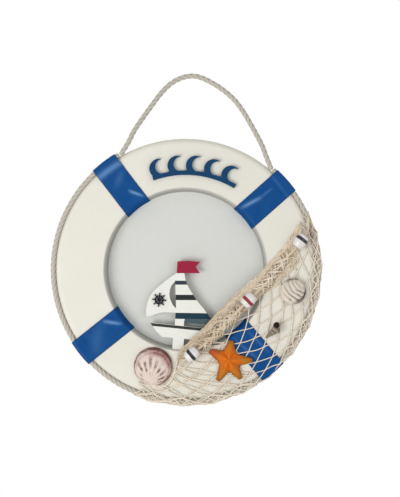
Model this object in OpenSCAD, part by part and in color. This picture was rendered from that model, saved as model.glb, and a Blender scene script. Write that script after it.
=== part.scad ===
// Decorative ring lifebuoy made as a round wall frame, dressed with a net, floats, shells and a sailing boat.
// Every piece is drawn lying on its back: X right, Y up the wall, Z out from the wall. hang() stands it up.

/* [Ring] */
// Outer diameter of the ring
ring_d = 250; // [235:1:270]
// Diameter of the round window at its front
window_d = 155; // [145:1:162]
// Thickness of the ring board
ring_t = 18; // [16:0.5:24]
// Rounding of the outer front edge
front_round = 6; // [5:0.5:8]
// Rounding of the outer back edge
back_round = 3; // [2:0.5:4]
// Rounding of the window's front edge
window_round = 1.5; // [0.5:0.5:3]
// Slope of the window's wall, which narrows towards the card
window_slope = 15; // [0:1:18]

/* [Back] */
// Thickness of the felt ring that lies on the wall
felt_t = 2; // [1.5:0.5:4]
// Distance from the ring's outer edge to the felt
felt_margin = 4; // [4:0.5:7]
// Reach of the card behind the window's front edge
ledge_w = 6.5; // [5:0.5:8]
// Width of the sunk step that carries the turn buttons
step_w = 15; // [14.5:0.5:17]
// Depth of the sunk step
step_sink = 2; // [1.5:0.5:3]
// Thickness of the backing board
board_t = 3; // [2:0.5:5]
// Thickness of the grey card
card_t = 0.8; // [0.5:0.1:2]
// Play round the board and the card
board_play = 0.3; // [0.1:0.1:1]

/* [Turn buttons] */
// Width of a turn button
button_w = 9; // [7:0.5:9.5]
// Distance from the screw to the centre of the button's round tip
button_reach = 15; // [12:0.5:16]
// Thickness of a turn button
button_t = 1.2; // [0.8:0.1:1.4]
// Shank diameter of a button screw
screw_d = 3.2; // [2.5:0.1:4]
// Length of a button screw below its head
screw_l = 10; // [7:0.5:12]
// Head diameter of a button screw
screw_head_d = 6.4; // [5:0.1:8]
// Head height of a button screw
screw_head_t = 1.5; // [1:0.1:1.8]
// Radial play between a button and its screw
pivot_play = 0.08; // [0.03:0.01:0.1]

/* [Bands and rope] */
// Width of a band
band_w = 26; // [20:1:32]
// Thickness of the band cloth
band_t = 0.8; // [0.5:0.1:1.5]
// Length of the band's end glued to the back, under the felt
band_tail = 12; // [9:1:15]
// Angle of the two upper bands above the horizontal
band_upper = 47; // [42:1:52]
// Angle of the two lower bands below the horizontal
band_lower = 44; // [38:1:50]
// Diameter of the rope
rope_d = 5; // [4:0.5:6]
// Angle at which the rope sits on the rounded front edge
rope_seat = 33; // [28:1:40]
// Distance from an upper band to the point where the loop lifts off the rim
loop_exit = 6; // [5:0.5:12]

/* [Net and floats] */
// Thickness of the net's twine
twine_d = 1.2; // [0.8:0.1:1.6]
// Width of the net's strands, laid flat
strand_w = 1.4; // [1:0.1:2]
// Half meshes along the head rope
mesh_along = 18; // [12:2:20]
// Half meshes from the head rope to the rim
mesh_across = 11; // [9:1:15]
// Length of a mesh on the rim
rim_mesh_l = 11.2; // [9:0.2:12]
// Width of a mesh on the rim
rim_mesh_w = 7.2; // [5:0.2:8]
// Angle at which the net starts on the right of the rim
net_from = 30; // [24:1:32]
// Angle at which the net ends on the lower left of the rim
net_to = -107; // [-112:1:-104]
// Height of the net's bunched edge
gather_h = 3.2; // [2:0.2:4]
// Height of the bunched edge where a float presses on it
gather_press = 1; // [0.6:0.1:1.6]
// Reach of the bunched edge from the head rope towards the window
gather_up = 9; // [7:0.5:10]
// Reach of the bunched edge from the head rope towards the rim
gather_down = 7; // [5:0.5:7.5]
// Diameter of the head rope
head_d = 2.6; // [2:0.1:3.2]
// Diameter of a float
float_d = 12.5; // [10:0.5:14]
// Length of a float
float_l = 13; // [10:0.5:14]
// Play between the head rope and a float's bore
float_play = 0.4; // [0.3:0.1:0.8]

/* [Shells] */
// Thickness of the shells and the starfish at their edge
shell_edge = 0.8; // [0.5:0.1:1.2]
// Distance of the scallop's middle from the ring's outer edge
scallop_in = 28; // [27:1:31]
// Angle of the scallop on the ring
scallop_at = -103; // [-106:1:-100]
// Diameter of the scallop
scallop_d = 37; // [30:1:40]
// Height of the scallop's crown
scallop_h = 9; // [6:0.5:12]
// Height of the scallop's ribs
rib_h = 0.6; // [0.3:0.1:0.9]
// Distance of the starfish's middle from the ring's outer edge
star_in = 30; // [29:0.5:33]
// Angle of the starfish on the ring
star_at = -59; // [-62:1:-56]
// Length of the longest starfish arms
star_arm = 22.5; // [19:0.5:23]
// Radius between the starfish arms
star_waist = 10; // [8:0.5:11]
// Height of the starfish
star_h = 6; // [4:0.5:9]
// Distance of the clam's middle from the ring's outer edge
clam_in = 21; // [18:1:26]
// Angle of the clam on the ring
clam_at = -6; // [-10:1:-2]
// Diameter of the clam
clam_d = 24.5; // [20:0.5:27]
// Height of the clam's crown
clam_h = 8; // [5:0.5:10]
// Height of the clam's ridges
ridge_h = 0.4; // [0.2:0.1:0.6]
// Distance of the snail shell's middle from the ring's outer edge
snail_in = 23.5; // [20:0.5:28]
// Angle of the snail shell on the ring
snail_at = -30; // [-33:1:-27]
// Length of the snail shell
snail_l = 18; // [13:0.5:20]
// Largest diameter of the snail shell
snail_d = 10; // [7:0.5:12]

/* [Boat and waves] */
// Length of the boat's hull
boat_l = 53.5; // [48:0.5:58]
// Thickness of the boat board
boat_t = 5; // [3:0.5:6]
// Thickness of the flag
flag_t = 3; // [2:0.5:4]
// Diameter of the ship's wheel over its handles
wheel_d = 13; // [10:0.5:15]
// Thickness of the ship's wheel
wheel_t = 1.5; // [1:0.1:2.5]
// Thickness of the wave ornament
wave_t = 3; // [2:0.5:5]
// Number of wave crests
wave_n = 5; // [3:1:6]
// Distance from one wave crest to the next
wave_step = 17.5; // [14:0.5:18]
// Height of a wave crest
wave_crest = 18.5; // [13:0.5:19]

/* [Clearances] */
// Gap in glued joints
glue_gap = 0.05; // [0.03:0.01:0.1]
// Gap between pieces that move past each other
move_gap = 0.3; // [0.2:0.05:0.4]

/* [Hidden] */
$fn = 96;

// heights above the wall
back_h = felt_t;
front_h = felt_t + ring_t;
step_h = felt_t + step_sink;
board_h = step_h;
card_h = board_h + board_t;
ledge_h = card_h + card_t;

// radii from the ring's axis
ring_r = ring_d / 2;
window_r = window_d / 2;
rebate_r = window_r + ledge_w;
step_r = rebate_r + step_w;
felt_r = ring_r - felt_margin;
pivot_r = rebate_r + step_w / 2;
tail_r = ring_r - back_round - band_tail;
pocket_r = sqrt(tail_r * tail_r - band_w * band_w / 4) - move_gap;
flat_r = ring_r - front_round;

// the rope's centre in section, and the loop's hinge points a little further off the ring
rope_r = rope_d / 2;
rope_off = front_round + rope_r + glue_gap;
rope_cr = flat_r + rope_off * cos(rope_seat);
rope_ch = front_h - front_round + rope_off * sin(rope_seat);
loop_off = front_round + rope_r + move_gap;
loop_cr = flat_r + loop_off * cos(rope_seat);
loop_ch = front_h - front_round + loop_off * sin(rope_seat);
loop_at = band_upper + asin((band_w / 2 + loop_exit) / rope_cr);
loop_x = loop_cr * cos(loop_at);
loop_y = loop_cr * sin(loop_at);

// the net lies on the bands, and what is glued to the net lies on its strands
net_off = band_t + 2 * glue_gap;
net_h = front_h + net_off;
net_top = net_h + twine_d;
deco_h = net_top + glue_gap;
hem_h = back_h + back_round;

// the head rope comes from the rim, runs along the bunched edge and rises through the floats
head_r = head_d / 2;
float_r = float_d / 2;
head_net = deco_h + head_r;
head_rim = rope_ch + rope_r + net_off + twine_d + head_r + glue_gap;
head_low = deco_h + gather_h + head_r + glue_gap;
head_high = deco_h + gather_press + move_gap + float_r;

// the boat stands in the middle of the recess, on the window's lower wall
boat_h = (ledge_h + front_h - boat_t) / 2;

// route of the hanging loop, left to right: across, above the hinge line, towards the wall
loop_route = [
    [-66, 11, 1], [-62, 22, 3], [-57, 32, 5], [-51.5, 42, 7], [-45.5, 52.5, 8], [-39, 63, 10],
    [-31.5, 72, 11], [-22, 78.5, 12], [-12, 81.5, 12.5], [-2, 80.5, 12.5], [9.5, 76, 12], [20.5, 70, 11],
    [31, 62, 9.5], [40, 52, 8], [48, 41, 6.5], [55, 30.5, 5], [61.5, 20, 3], [66, 10.5, 1]
];

// the net and its head rope are drawn for a ring of this diameter, and spread with it
drawn_d = 250;
spread = ring_d / drawn_d;

// route of the head rope: across, up, and what it lies on: 0 net, 1 float, 2 bunched edge, 3 rim
head_drawn = [
    [111, 61, 3], [112, 50, 3], [105.5, 37, 1], [91.5, 16.5, 2], [79, -3, 2], [62, -23, 1],
    [45, -44, 2], [28, -65, 2], [13.5, -79, 1], [2, -91, 0]
];
head_route = [for (q = head_drawn) [q[0] * spread, q[1] * spread, q[2]]];
floats = [for (i = [0:len(head_route) - 1]) if (head_route[i][2] == 1) i];
float_hold = float_l / 2 + 2;
gather_edge = 0.4;
gather_folds = 9;

// the net's upper edge, from the right of the rim to its lower left
net_drawn = [
    [108, 50], [95, 33.5], [84, 19], [73, 3], [61.7, -12.7], [50.5, -23.3], [38.8, -37.1],
    [27.6, -50], [17.3, -62.2], [6.7, -71.7], [0, -83], [-1, -96], [-6, -110.5], [-20, -117]
];
net_edge = [for (p = net_drawn) p * spread];

bands = [band_upper, 180 - band_upper, 180 + band_lower, 360 - band_lower];
buttons = [0, 90, 180, 270];

// the starfish's arms: angle, and length as a share of the longest
star_arms = [[4, 1], [88, 0.82], [160, 0.9], [248, 1], [308, 0.95]];

// outlines of the boat, seen from the front, drawn with this hull in a window of this radius
hull_drawn = 53.5;
window_drawn = 77.5;
function boat(p) = [
    for (q = p) [q[0] * boat_l / hull_drawn, (q[1] + window_drawn) * boat_l / hull_drawn - window_r]
];
jib_outline = [
    [-8.5, -4.4], [-13, -8], [-18, -12.5], [-24, -18.5], [-29, -24], [-32, -30], [-33.5, -36], [-34, -42],
    [-33, -48.5], [-28.5, -47], [-23, -44.5], [-18.5, -43], [-12, -42.3], [-5.5, -42.2], [-5.5, -10]
];
main_outline = [
    [-8.5, -4.4], [-1, -3.72], [1.5, -12], [4.6, -17], [8.2, -22], [13.7, -29], [21, -36], [28.7, -45],
    [27.8, -47.2], [25.8, -50.7], [3.8, -50.5], [3.2, -48], [-5.5, -48], [-6, -30]
];
slot_outline = [
    [-8.9, -12.3], [-12, -16.5], [-13.2, -20.5], [-13.3, -24.7], [-12.6, -28.5], [-11.2, -31.5], [-9, -35],
    [-6.5, -37.4], [-5.6, -37.4]
];
post_outline = [[-5.5, -47], [3, -46], [3.5, -55], [-5.2, -55]];
hull_outline = [
    [-29, -53.7], [24.5, -54.2], [23.5, -58.5], [20.5, -63], [16, -66.2], [-16.2, -66.2], [-22, -61.8]
];
foot_outline = [[-5.8, -65.5], [4.8, -65.5], [5.5, -90], [-5, -90]];
flag_outline = [[-8.2, -4.3], [-8.6, 6.9], [2, 8.4], [13, 8.4], [9.2, 3], [14, -2.3], [2.9, -3.3]];
wheel_point = [-22.4, -31.3];

function unit(v) = v / norm(v);
function lerp(a, b, t) = a + (b - a) * t;
function rev(p) = [for (i = [len(p) - 1:-1:0]) p[i]];
function polar(r, a) = r * [cos(a), sin(a)];
function arc(c, r, a0, a1, n) = [for (i = [0:n]) c + polar(r, lerp(a0, a1, i / n))];

// a point part of the way along a list of points, by count
function along(p, t) =
    let (s = t * (len(p) - 1), i = min(floor(s), len(p) - 2))
    lerp(p[i], p[i + 1], s - i);

// stands the object up: the wall at the back, the front towards -Y
module hang() {
    rotate([90, 0, 0])
        children();
}

// material outside a rounded corner, whose square lies towards +x +y
module corner(r) {
    difference() {
        square(r + 1);
        circle(r);
    }
}

// sweeps a round tube along points, closed by round ends
module tube(p, r, sides) {
    n = len(p);
    tangent = [for (i = [0:n - 1]) unit(p[min(i + 1, n - 1)] - p[max(i - 1, 0)])];
    ends = [[-0.98, 0.2], [-0.7, 0.71], [0, 1]];
    rings = concat(
        [for (e = ends) [p[0] + tangent[0] * e[0] * r, tangent[0], e[1] * r]],
        [for (i = [1:n - 2]) [p[i], tangent[i], r]],
        [for (e = rev(ends)) [p[n - 1] - tangent[n - 1] * e[0] * r, tangent[n - 1], e[1] * r]]
    );
    points = [
        for (q = rings)
            let (side = unit(cross([0, 0, 1], q[1])), up = cross(q[1], side))
            for (k = [0:sides - 1])
                q[0] + q[2] * (cos(360 * k / sides) * side + sin(360 * k / sides) * up)
    ];
    m = len(rings);
    faces = concat(
        [for (j = [0:m - 2], k = [0:sides - 1], s = [0, 1])
            let (k2 = (k + 1) % sides, a = j * sides, b = a + sides)
            s == 0 ? [a + k, b + k, b + k2] : [a + k, b + k2, a + k2]],
        [for (k = [1:sides - 2]) [0, k, k + 1]],
        [for (k = [1:sides - 2]) let (a = (m - 1) * sides) [a, a + k + 1, a + k]]
    );
    polyhedron(points, faces);
}

// a closed crown over a flat underside: skin(angle, t) gives a point from the middle, t = 0, to the edge, t = 1
module crown(n, m, edge, skin) {
    points = concat(
        [[0, 0, 0], skin(0, 0)],
        [for (i = [0:n - 1]) let (q = skin(360 * i / n, 1)) [q[0], q[1], 0]],
        [for (j = [1:m], i = [0:n - 1]) let (q = skin(360 * i / n, j / m)) [q[0], q[1], q[2] + edge]]
    );
    faces = concat(
        [for (i = [0:n - 1]) [0, 2 + i, 2 + (i + 1) % n]],
        [for (i = [0:n - 1]) [1, 2 + n + (i + 1) % n, 2 + n + i]],
        [for (j = [1:m - 1], i = [0:n - 1], s = [0, 1])
            let (a = 2 + n * j, b = a + n, k = (i + 1) % n)
            s == 0 ? [a + i, a + k, b + k] : [a + i, b + k, b + i]],
        [for (i = [0:n - 1], s = [0, 1])
            let (a = 2, b = 2 + n * m, k = (i + 1) % n)
            s == 0 ? [a + i, b + i, b + k] : [a + i, b + k, a + k]]
    );
    polyhedron(points, faces);
}

// places a decoration: distance in from the rim, angle on the ring, own turn, height of what it is glued to
module on_ring(inset, at, turn, base) {
    p = polar(ring_r - inset, at);
    translate([p[0], p[1], base])
        rotate([0, 0, turn])
            children();
}

// section of the window's wall and its rounded front edge, off the surface, from a given height
function window_wall(off, low) =
    let (
        c = [window_r + window_round, front_h - window_round],
        top = c + polar(window_round + off, 180 - window_slope)
    )
    concat(
        [top - (top[1] - low) * [tan(window_slope), 1]],
        arc(c, window_round + off, 180 - window_slope, 90, 8)
    );
function window_at(h) = window_wall(glue_gap, h)[0][0];

// section of a band, off the surface it wraps: window wall, front, over the rope, rim and back
function wrap_front(off) = window_wall(off, ledge_h + move_gap);
function wrap_rope(off) = concat(
    [[flat_r - 2, front_h + off]],
    arc([rope_cr, rope_ch], rope_r + off, 96, -22, 12),
    [[ring_r + off, max(rope_ch - 2 * rope_d, back_h + back_round + 0.5)]]
);
function wrap_back(off) = concat(
    arc([ring_r - back_round, back_h + back_round], back_round + off, 0, -90, 8),
    [[tail_r, back_h - off]]
);
function wrap_band(off) = concat(wrap_front(off), wrap_rope(off), wrap_back(off));
function wrap_hem(off) = concat(wrap_rope(off), [[ring_r + off, hem_h]]);

// the wooden ring, with the card's ledge, the sunk step and the screw holes on its back
module ring_body() {
    color([0.92, 0.91, 0.87])
        difference() {
            rotate_extrude()
                difference() {
                    polygon(concat(window_wall(0, ledge_h), [
                        [ring_r, front_h], [ring_r, back_h], [step_r, back_h], [step_r, step_h],
                        [rebate_r, step_h], [rebate_r, ledge_h]
                    ]));
                    translate([flat_r, front_h - front_round])
                        corner(front_round);
                    translate([ring_r - back_round, back_h + back_round])
                        mirror([0, 1])
                            corner(back_round);
                }
            for (a = buttons)
                rotate([0, 0, a])
                    translate([pivot_r, 0, step_h - 1])
                        cylinder(h = screw_l, d = screw_d + 2 * glue_gap);
        }
}

// the felt ring on the back, relieved over the glued ends of the bands
module felt_ring() {
    color([0.24, 0.25, 0.27])
        difference() {
            rotate_extrude()
                translate([step_r, 0])
                    square([felt_r - step_r, felt_t - glue_gap]);
            for (a = bands)
                rotate([0, 0, a])
                    translate([pocket_r, -band_w / 2 - move_gap, felt_t - band_t - 3 * glue_gap])
                        cube([ring_r, band_w + 2 * move_gap, felt_t]);
        }
}

// the hardboard that closes the back
module backing_board() {
    color([0.46, 0.33, 0.22])
        translate([0, 0, board_h])
            cylinder(h = board_t - glue_gap, r = rebate_r - board_play);
}

// the grey card that shows in the window
module grey_card() {
    color([0.83, 0.84, 0.82])
        translate([0, 0, card_h])
            cylinder(h = card_t - glue_gap, r = rebate_r - board_play);
}

// one pan-head screw for each turn button
module button_screws() {
    head_h = step_h - move_gap - button_t - move_gap / 2;
    tip_h = step_h - 1 + screw_l - screw_d;
    color([0.72, 0.73, 0.75])
        for (a = buttons)
            rotate([0, 0, a])
                translate([pivot_r, 0, 0])
                    difference() {
                        rotate_extrude()
                            polygon([
                                [0, tip_h], [screw_d / 2, tip_h - screw_d], [screw_d / 2, head_h],
                                [screw_head_d / 2, head_h], [screw_head_d / 2, head_h - screw_head_t * 0.6],
                                [screw_head_d * 0.36, head_h - screw_head_t], [0, head_h - screw_head_t]
                            ]);
                        translate([-screw_head_d / 2 - 1, -0.4, head_h - screw_head_t - 1])
                            cube([screw_head_d + 2, 0.8, 1 + screw_head_t * 0.45]);
                    }
}

// a pressed steel turn button that reaches inwards over the backing board
module turn_button(at) {
    color([0.70, 0.66, 0.52])
        rotate([0, 0, at])
            translate([pivot_r, 0, step_h - move_gap - button_t])
                linear_extrude(button_t)
                    difference() {
                        union() {
                            circle(d = button_w);
                            translate([-button_reach, -button_w / 2])
                                square([button_reach, button_w]);
                            translate([-button_reach, 0])
                                circle(d = button_w);
                        }
                        circle(d = screw_d + 2 * pivot_play);
                    }
}

// a strap of blue cloth round the ring and the rope
module band(at) {
    span = 2 * asin(band_w / window_r);
    color([0.06, 0.29, 0.53])
        rotate([0, 0, at])
            intersection() {
                rotate([0, 0, -span / 2])
                    rotate_extrude(angle = span)
                        polygon(concat(wrap_band(glue_gap), rev(wrap_band(glue_gap + band_t))));
                translate([0, -band_w / 2, -1])
                    cube([2 * ring_r, band_w, 2 * front_h]);
            }
}

// the rope round the rim, cupped at both ends for the hanging loop
module rim_rope() {
    color([0.74, 0.71, 0.63])
        difference() {
            rotate([0, 0, 180 - loop_at])
                rotate_extrude(angle = 180 + 2 * loop_at)
                    translate([rope_cr, rope_ch])
                        circle(d = rope_d);
            for (s = [-1, 1])
                translate([s * loop_x, loop_y, loop_ch])
                    sphere(r = rope_r + 2 * move_gap);
        }
}

// the free stretch of the same rope, by which the object hangs
module hanging_loop() {
    route = concat(
        [[-loop_x, loop_y, loop_ch]],
        [for (q = loop_route) [q[0], loop_y + q[1], loop_ch - q[2]]],
        [[loop_x, loop_y, loop_ch]]
    );
    color([0.74, 0.71, 0.63])
        tube(route, rope_r, 12);
}

// the net's nodes: u from right to lower left, v from the head rope to the rim
function net_inner(u) =
    let (p = along(net_edge, u), far = flat_r - 2 - strand_w)
    norm(p) > far ? unit(p) * far : p;
function net_angle(u) =
    lerp(atan2(net_edge[0][1], net_edge[0][0]), atan2(net_edge[13][1], net_edge[13][0]), u);
function net_node(u, v) = lerp(net_inner(u), polar(flat_r - 2 - glue_gap, net_angle(u)), v);
function mesh_row(j) = pow(j / mesh_across, 1.15);
function mesh_node(i, j) = net_node(i / mesh_along, mesh_row(j));

// one mesh, drawn in so that its strands keep their width
function mesh_gap(i, j) =
    let (
        q = [mesh_node(i - 1, j), mesh_node(i, j - 1), mesh_node(i + 1, j), mesh_node(i, j + 1)],
        c = (q[0] + q[1] + q[2] + q[3]) / 4,
        a = norm(q[2] - q[0]) / 2,
        b = norm(q[3] - q[1]) / 2,
        keep = 1 - strand_w / 2 * sqrt(a * a + b * b) / (a * b)
    )
    keep > 0.3 ? [for (p = q) c + (p - c) * keep] : [];

// the net where it lies flat on the front and crosses the window
module net_front() {
    color([0.86, 0.82, 0.72])
        translate([0, 0, net_h])
            linear_extrude(twine_d)
                difference() {
                    polygon(concat(
                        [for (i = [0:40]) net_node(i / 40, 0)],
                        [for (i = [40:-1:0]) net_node(i / 40, 1)]
                    ));
                    translate(polar(ring_r - scallop_in, scallop_at))
                        circle(d = scallop_d + 2 * move_gap);
                    for (i = [1:mesh_along - 1], j = [1:mesh_across - 1])
                        if ((i + j) % 2 == 0 && len(mesh_gap(i, j)) == 4)
                            polygon(mesh_gap(i, j));
                }
}

// the net where it turns over the rope and round the rim
module net_rim() {
    span = net_from - net_to;
    count = floor(span * PI / 180 * ring_r / (rim_mesh_l + 3 * strand_w));
    l = rim_mesh_l / 2;
    w = rim_mesh_w / 2;
    step = span / count;
    side_h = (rope_ch - rope_r + hem_h) / 2;
    color([0.86, 0.82, 0.72])
        difference() {
            rotate([0, 0, net_to])
                rotate_extrude(angle = span)
                    polygon(concat(wrap_hem(net_off), rev(wrap_hem(net_off + twine_d))));
            for (i = [0:count - 1])
                rotate([0, 0, net_to + step * (i + 0.5)])
                    translate([ring_r - 2, 0, side_h])
                        rotate([90, 0, 90])
                            linear_extrude(10)
                                polygon([[-l, 0], [0, -w], [l, 0], [0, w]]);
            for (i = [1:count - 1])
                rotate([0, 0, net_to + step * i])
                    translate([flat_r + w - 1, 0, front_h])
                        linear_extrude(10)
                            polygon([[-w, 0], [0, -l], [w, 0], [0, l]]);
        }
}

// direction and height of the head rope at a float
function float_dir(i) =
    let (d = unit(head_route[i + 1] - head_route[i - 1]))
    unit([d[0], d[1], 0]);
function float_pos(i) = [head_route[i][0], head_route[i][1], head_high];

// the bunched edge of the net, pressed down under the floats: u from right to lower left, v from window to rim
function head_at(u) = let (q = along(head_route, u)) [q[0], q[1]];
function head_side(u) =
    let (d = unit(head_at(u + 0.04) - head_at(u - 0.04)))
    [-d[1], d[0]];
function float_near(p) = max([
    for (i = floats) min(1, max(0, (float_l / 2 + 10 - norm([head_route[i][0], head_route[i][1]] - p)) / 7))
]);
function to_rim(p, d, r) = sqrt(pow(p * d, 2) - p * p + r * r) - p * d;
function gather_point(u, v, taper) =
    let (
        p = head_at(u),
        d = head_side(u),
        up = gather_up * taper,
        down = min(gather_down * taper, to_rim(p, d, flat_r - 2 - strand_w)),
        full = lerp(gather_h, gather_press, float_near(p)) - gather_edge,
        fold = 0.8 + 0.2 * cos(360 * gather_folds * u + 240 * v),
        q = p + d * lerp(-up, down, v)
    )
    [q[0], q[1], deco_h + gather_edge + full * fold * pow(sin(180 * v), 0.7) * taper];
module net_gather() {
    n = 64;
    m = 8;
    from = 0.19;
    to = 0.95;
    points = [
        for (j = [0:n])
            let (u = lerp(from, to, j / n), taper = min(1, 0.25 + 8 * j / n, 0.25 + 8 * (1 - j / n)))
            for (i = [0:m + 2])
                let (q = gather_point(u, i > m ? i - m - 1 : i / m, taper))
                i > m ? [q[0], q[1], deco_h] : q
    ];
    w = m + 3;
    faces = concat(
        [for (j = [0:n - 1], i = [0:m - 1], s = [0, 1])
            let (a = j * w + i, b = a + w)
            s == 0 ? [a, a + 1, b + 1] : [a, b + 1, b]],
        [for (j = [0:n - 1], s = [0:5])
            let (t0 = j * w, t1 = t0 + m, b0 = t1 + 1, b1 = b0 + 1)
            [[b0, b0 + w, b1 + w], [b0, b1 + w, b1], [b0, t0, t0 + w], [b0, t0 + w, b0 + w],
                [b1 + w, t1 + w, t1], [b1 + w, t1, b1]][s]],
        [for (i = [0:m]) [m + 2, i < m ? i + 1 : 0, i < m ? i : m + 1]],
        [for (i = [0:m]) let (a = n * w) [a + m + 1, a + i, i < m ? a + i + 1 : a + m + 2]]
    );
    color([0.78, 0.72, 0.58])
        polyhedron(points, faces);
}

// the cord that the net is gathered on
module head_rope() {
    route = [
        for (i = [0:len(head_route) - 1])
            let (q = head_route[i], level = [head_net, head_high, head_low, head_rim][q[2]])
            for (s = q[2] == 1 ? [-1, 1] : [0])
                [q[0], q[1], level] + s * float_hold * float_dir(max(1, min(i, len(head_route) - 2)))
    ];
    color([0.78, 0.72, 0.58])
        tube(route, head_r, 8);
}

// a barrel float threaded on the head rope
module net_float(k) {
    i = floats[k];
    d = float_dir(i);
    p = float_pos(i);
    belly = 12;
    color(k == 1 ? [0.72, 0.16, 0.20] : [0.14, 0.20, 0.40])
        translate(p)
            rotate([0, 0, atan2(d[1], d[0])])
                rotate([0, 90, 0])
                    rotate_extrude()
                        intersection() {
                            translate([float_r - belly, 0])
                                circle(belly);
                            translate([head_r + float_play, -float_l / 2])
                                square([float_d, float_l]);
                        }
}

// a dried starfish with five uneven arms, each reaching 36 degrees to either side
function arm_gap(a, b) = min(1, abs((a - b + 540) % 360 - 180) / 36);
function star_ridge(a) = max([for (b = star_arms) 1 - arm_gap(a, b[0])]);
// an arm's straight edge runs from the waist to a point a little past its blunt tip
function arm_edge(r, gap) = r * star_waist * sin(36) / (r * sin(gap) + star_waist * sin(36 - gap));
function star_edge(a) = max([
    for (b = star_arms)
        let (r = star_arm * b[1])
        min(r, arm_edge(1.3 * r, 36 * arm_gap(a, b[0])))
]);
module starfish() {
    color([0.84, 0.43, 0.10])
        on_ring(star_in, star_at, 0, deco_h)
            crown(90, 6, shell_edge, function (a, t)
                let (
                    q = polar(t * star_edge(a), a),
                    arch = (1 - t * t) * (1 - 0.35 * t)
                )
                [q[0], q[1], (star_h - shell_edge) * arch * (0.55 + 0.45 * pow(star_ridge(a), 0.5))]);
}

// distance from a shell's beak, a share k of the radius below its middle, to its round edge
function beak_edge(r, k, a) = k * r * sin(a) + r * sqrt(1 - pow(k * cos(a), 2));

// a scallop, hinge down, ribbed from its hinge
module scallop_shell() {
    r = scallop_d / 2;
    k = 0.86;
    ribs = 11;
    color([0.78, 0.55, 0.50])
        on_ring(scallop_in, scallop_at, -4, front_h + glue_gap)
            crown(120, 6, shell_edge, function (a, t)
                let (
                    rib = sin(a) > 0 ? cos((a - 90) * 2 * ribs) : 0,
                    q = polar(t * beak_edge(r, k, a) * (1 + 0.008 * rib - 0.008), a) - [0, k * r],
                    dome = pow(max(0, 1 - pow(norm(q) / r, 2)), 0.6)
                )
                [q[0], q[1], (scallop_h - shell_edge - rib_h) * dome + rib_h * rib * min(1, 3 * t)]);
}

// a clam with ridges round its beak
module clam_shell() {
    r = clam_d / 2;
    k = 0.84;
    ridges = 5;
    color([0.85, 0.82, 0.76])
        on_ring(clam_in, clam_at, 140, deco_h)
            crown(72, 15, shell_edge, function (a, t)
                let (
                    q = polar(t * beak_edge(r, k, a) * (1 - 0.08 * pow(max(0, -sin(a)), 2)), a) - [0, k * r],
                    dome = pow(max(0, 1 - pow(norm(q) / r, 2)), 0.6)
                )
                [q[0], q[1], (clam_h - shell_edge - ridge_h) * dome
                    - ridge_h * (cos(360 * ridges * t) * min(1, 5 - 5 * t) - 1 + t)]);
}

// a small pointed snail shell lying on its side
module snail_shell() {
    turns = 4;
    sides = 20;
    rings = 28;
    // radius along the axis from the tip to the mouth, widest at four fifths and swollen on each whorl
    function whorl(t, a) =
        let (turn = turns * (t - 0.8) * 360 - a - 90)
        snail_d / 2 * pow(t / 0.8, 0.8) * sqrt(1 - pow(max(0, t - 0.8) / 0.2, 2)) * (0.92 + 0.08 * cos(turn));
    points = concat(
        [[0, 0, 0]],
        [for (j = [1:rings - 1], i = [0:sides - 1])
            let (t = j / rings, a = 360 * i / sides, r = whorl(t, a))
            [snail_l * t, r * cos(a), r * sin(a)]],
        [[snail_l, 0, 0]]
    );
    last = len(points) - 1;
    faces = concat(
        [for (i = [0:sides - 1]) [0, 1 + i, 1 + (i + 1) % sides]],
        [for (j = [0:rings - 3], i = [0:sides - 1], s = [0, 1])
            let (a = 1 + sides * j, b = a + sides, k = (i + 1) % sides)
            s == 0 ? [a + i, b + i, b + k] : [a + i, b + k, a + k]],
        [for (i = [0:sides - 1]) let (a = 1 + sides * (rings - 2)) [last, a + (i + 1) % sides, a + i]]
    );
    color([0.52, 0.47, 0.42])
        on_ring(snail_in, snail_at, 45, deco_h)
            translate([-snail_l / 2, 0, snail_d / 2])
                polyhedron(points, faces);
}

// the sawn boat board, cut off below by the window's wall
module boat_board() {
    color([0.93, 0.93, 0.91])
        translate([0, 0, boat_h])
            intersection() {
                cylinder(h = boat_t, r1 = window_at(boat_h), r2 = window_at(boat_h + boat_t));
                linear_extrude(boat_t)
                    difference() {
                        union() {
                            polygon(boat(jib_outline));
                            polygon(boat(main_outline));
                            polygon(boat(post_outline));
                            polygon(boat(hull_outline));
                            polygon(boat(foot_outline));
                        }
                        polygon(boat(slot_outline));
                    }
            }
}

// the red flag on the masthead
module boat_flag() {
    color([0.60, 0.20, 0.27])
        translate([0, 0, boat_h + (boat_t - flag_t) / 2])
            linear_extrude(flag_t)
                polygon(boat(flag_outline));
}

// the ship's wheel on the jib
module ship_wheel() {
    rim_r = wheel_d * 0.34;
    p = boat([wheel_point])[0];
    color([0.12, 0.14, 0.24])
        translate([p[0], p[1], boat_h + boat_t + glue_gap])
            linear_extrude(wheel_t)
                union() {
                    difference() {
                        circle(rim_r);
                        circle(rim_r - wheel_d * 0.09);
                    }
                    circle(wheel_d * 0.1);
                    for (a = [0:45:135])
                        rotate([0, 0, a])
                            square([wheel_d, wheel_d * 0.07], center = true);
                    for (a = [0:45:315])
                        translate(polar(wheel_d * 0.46, a))
                            circle(wheel_d * 0.055, $fn = 24);
                }
}

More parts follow.
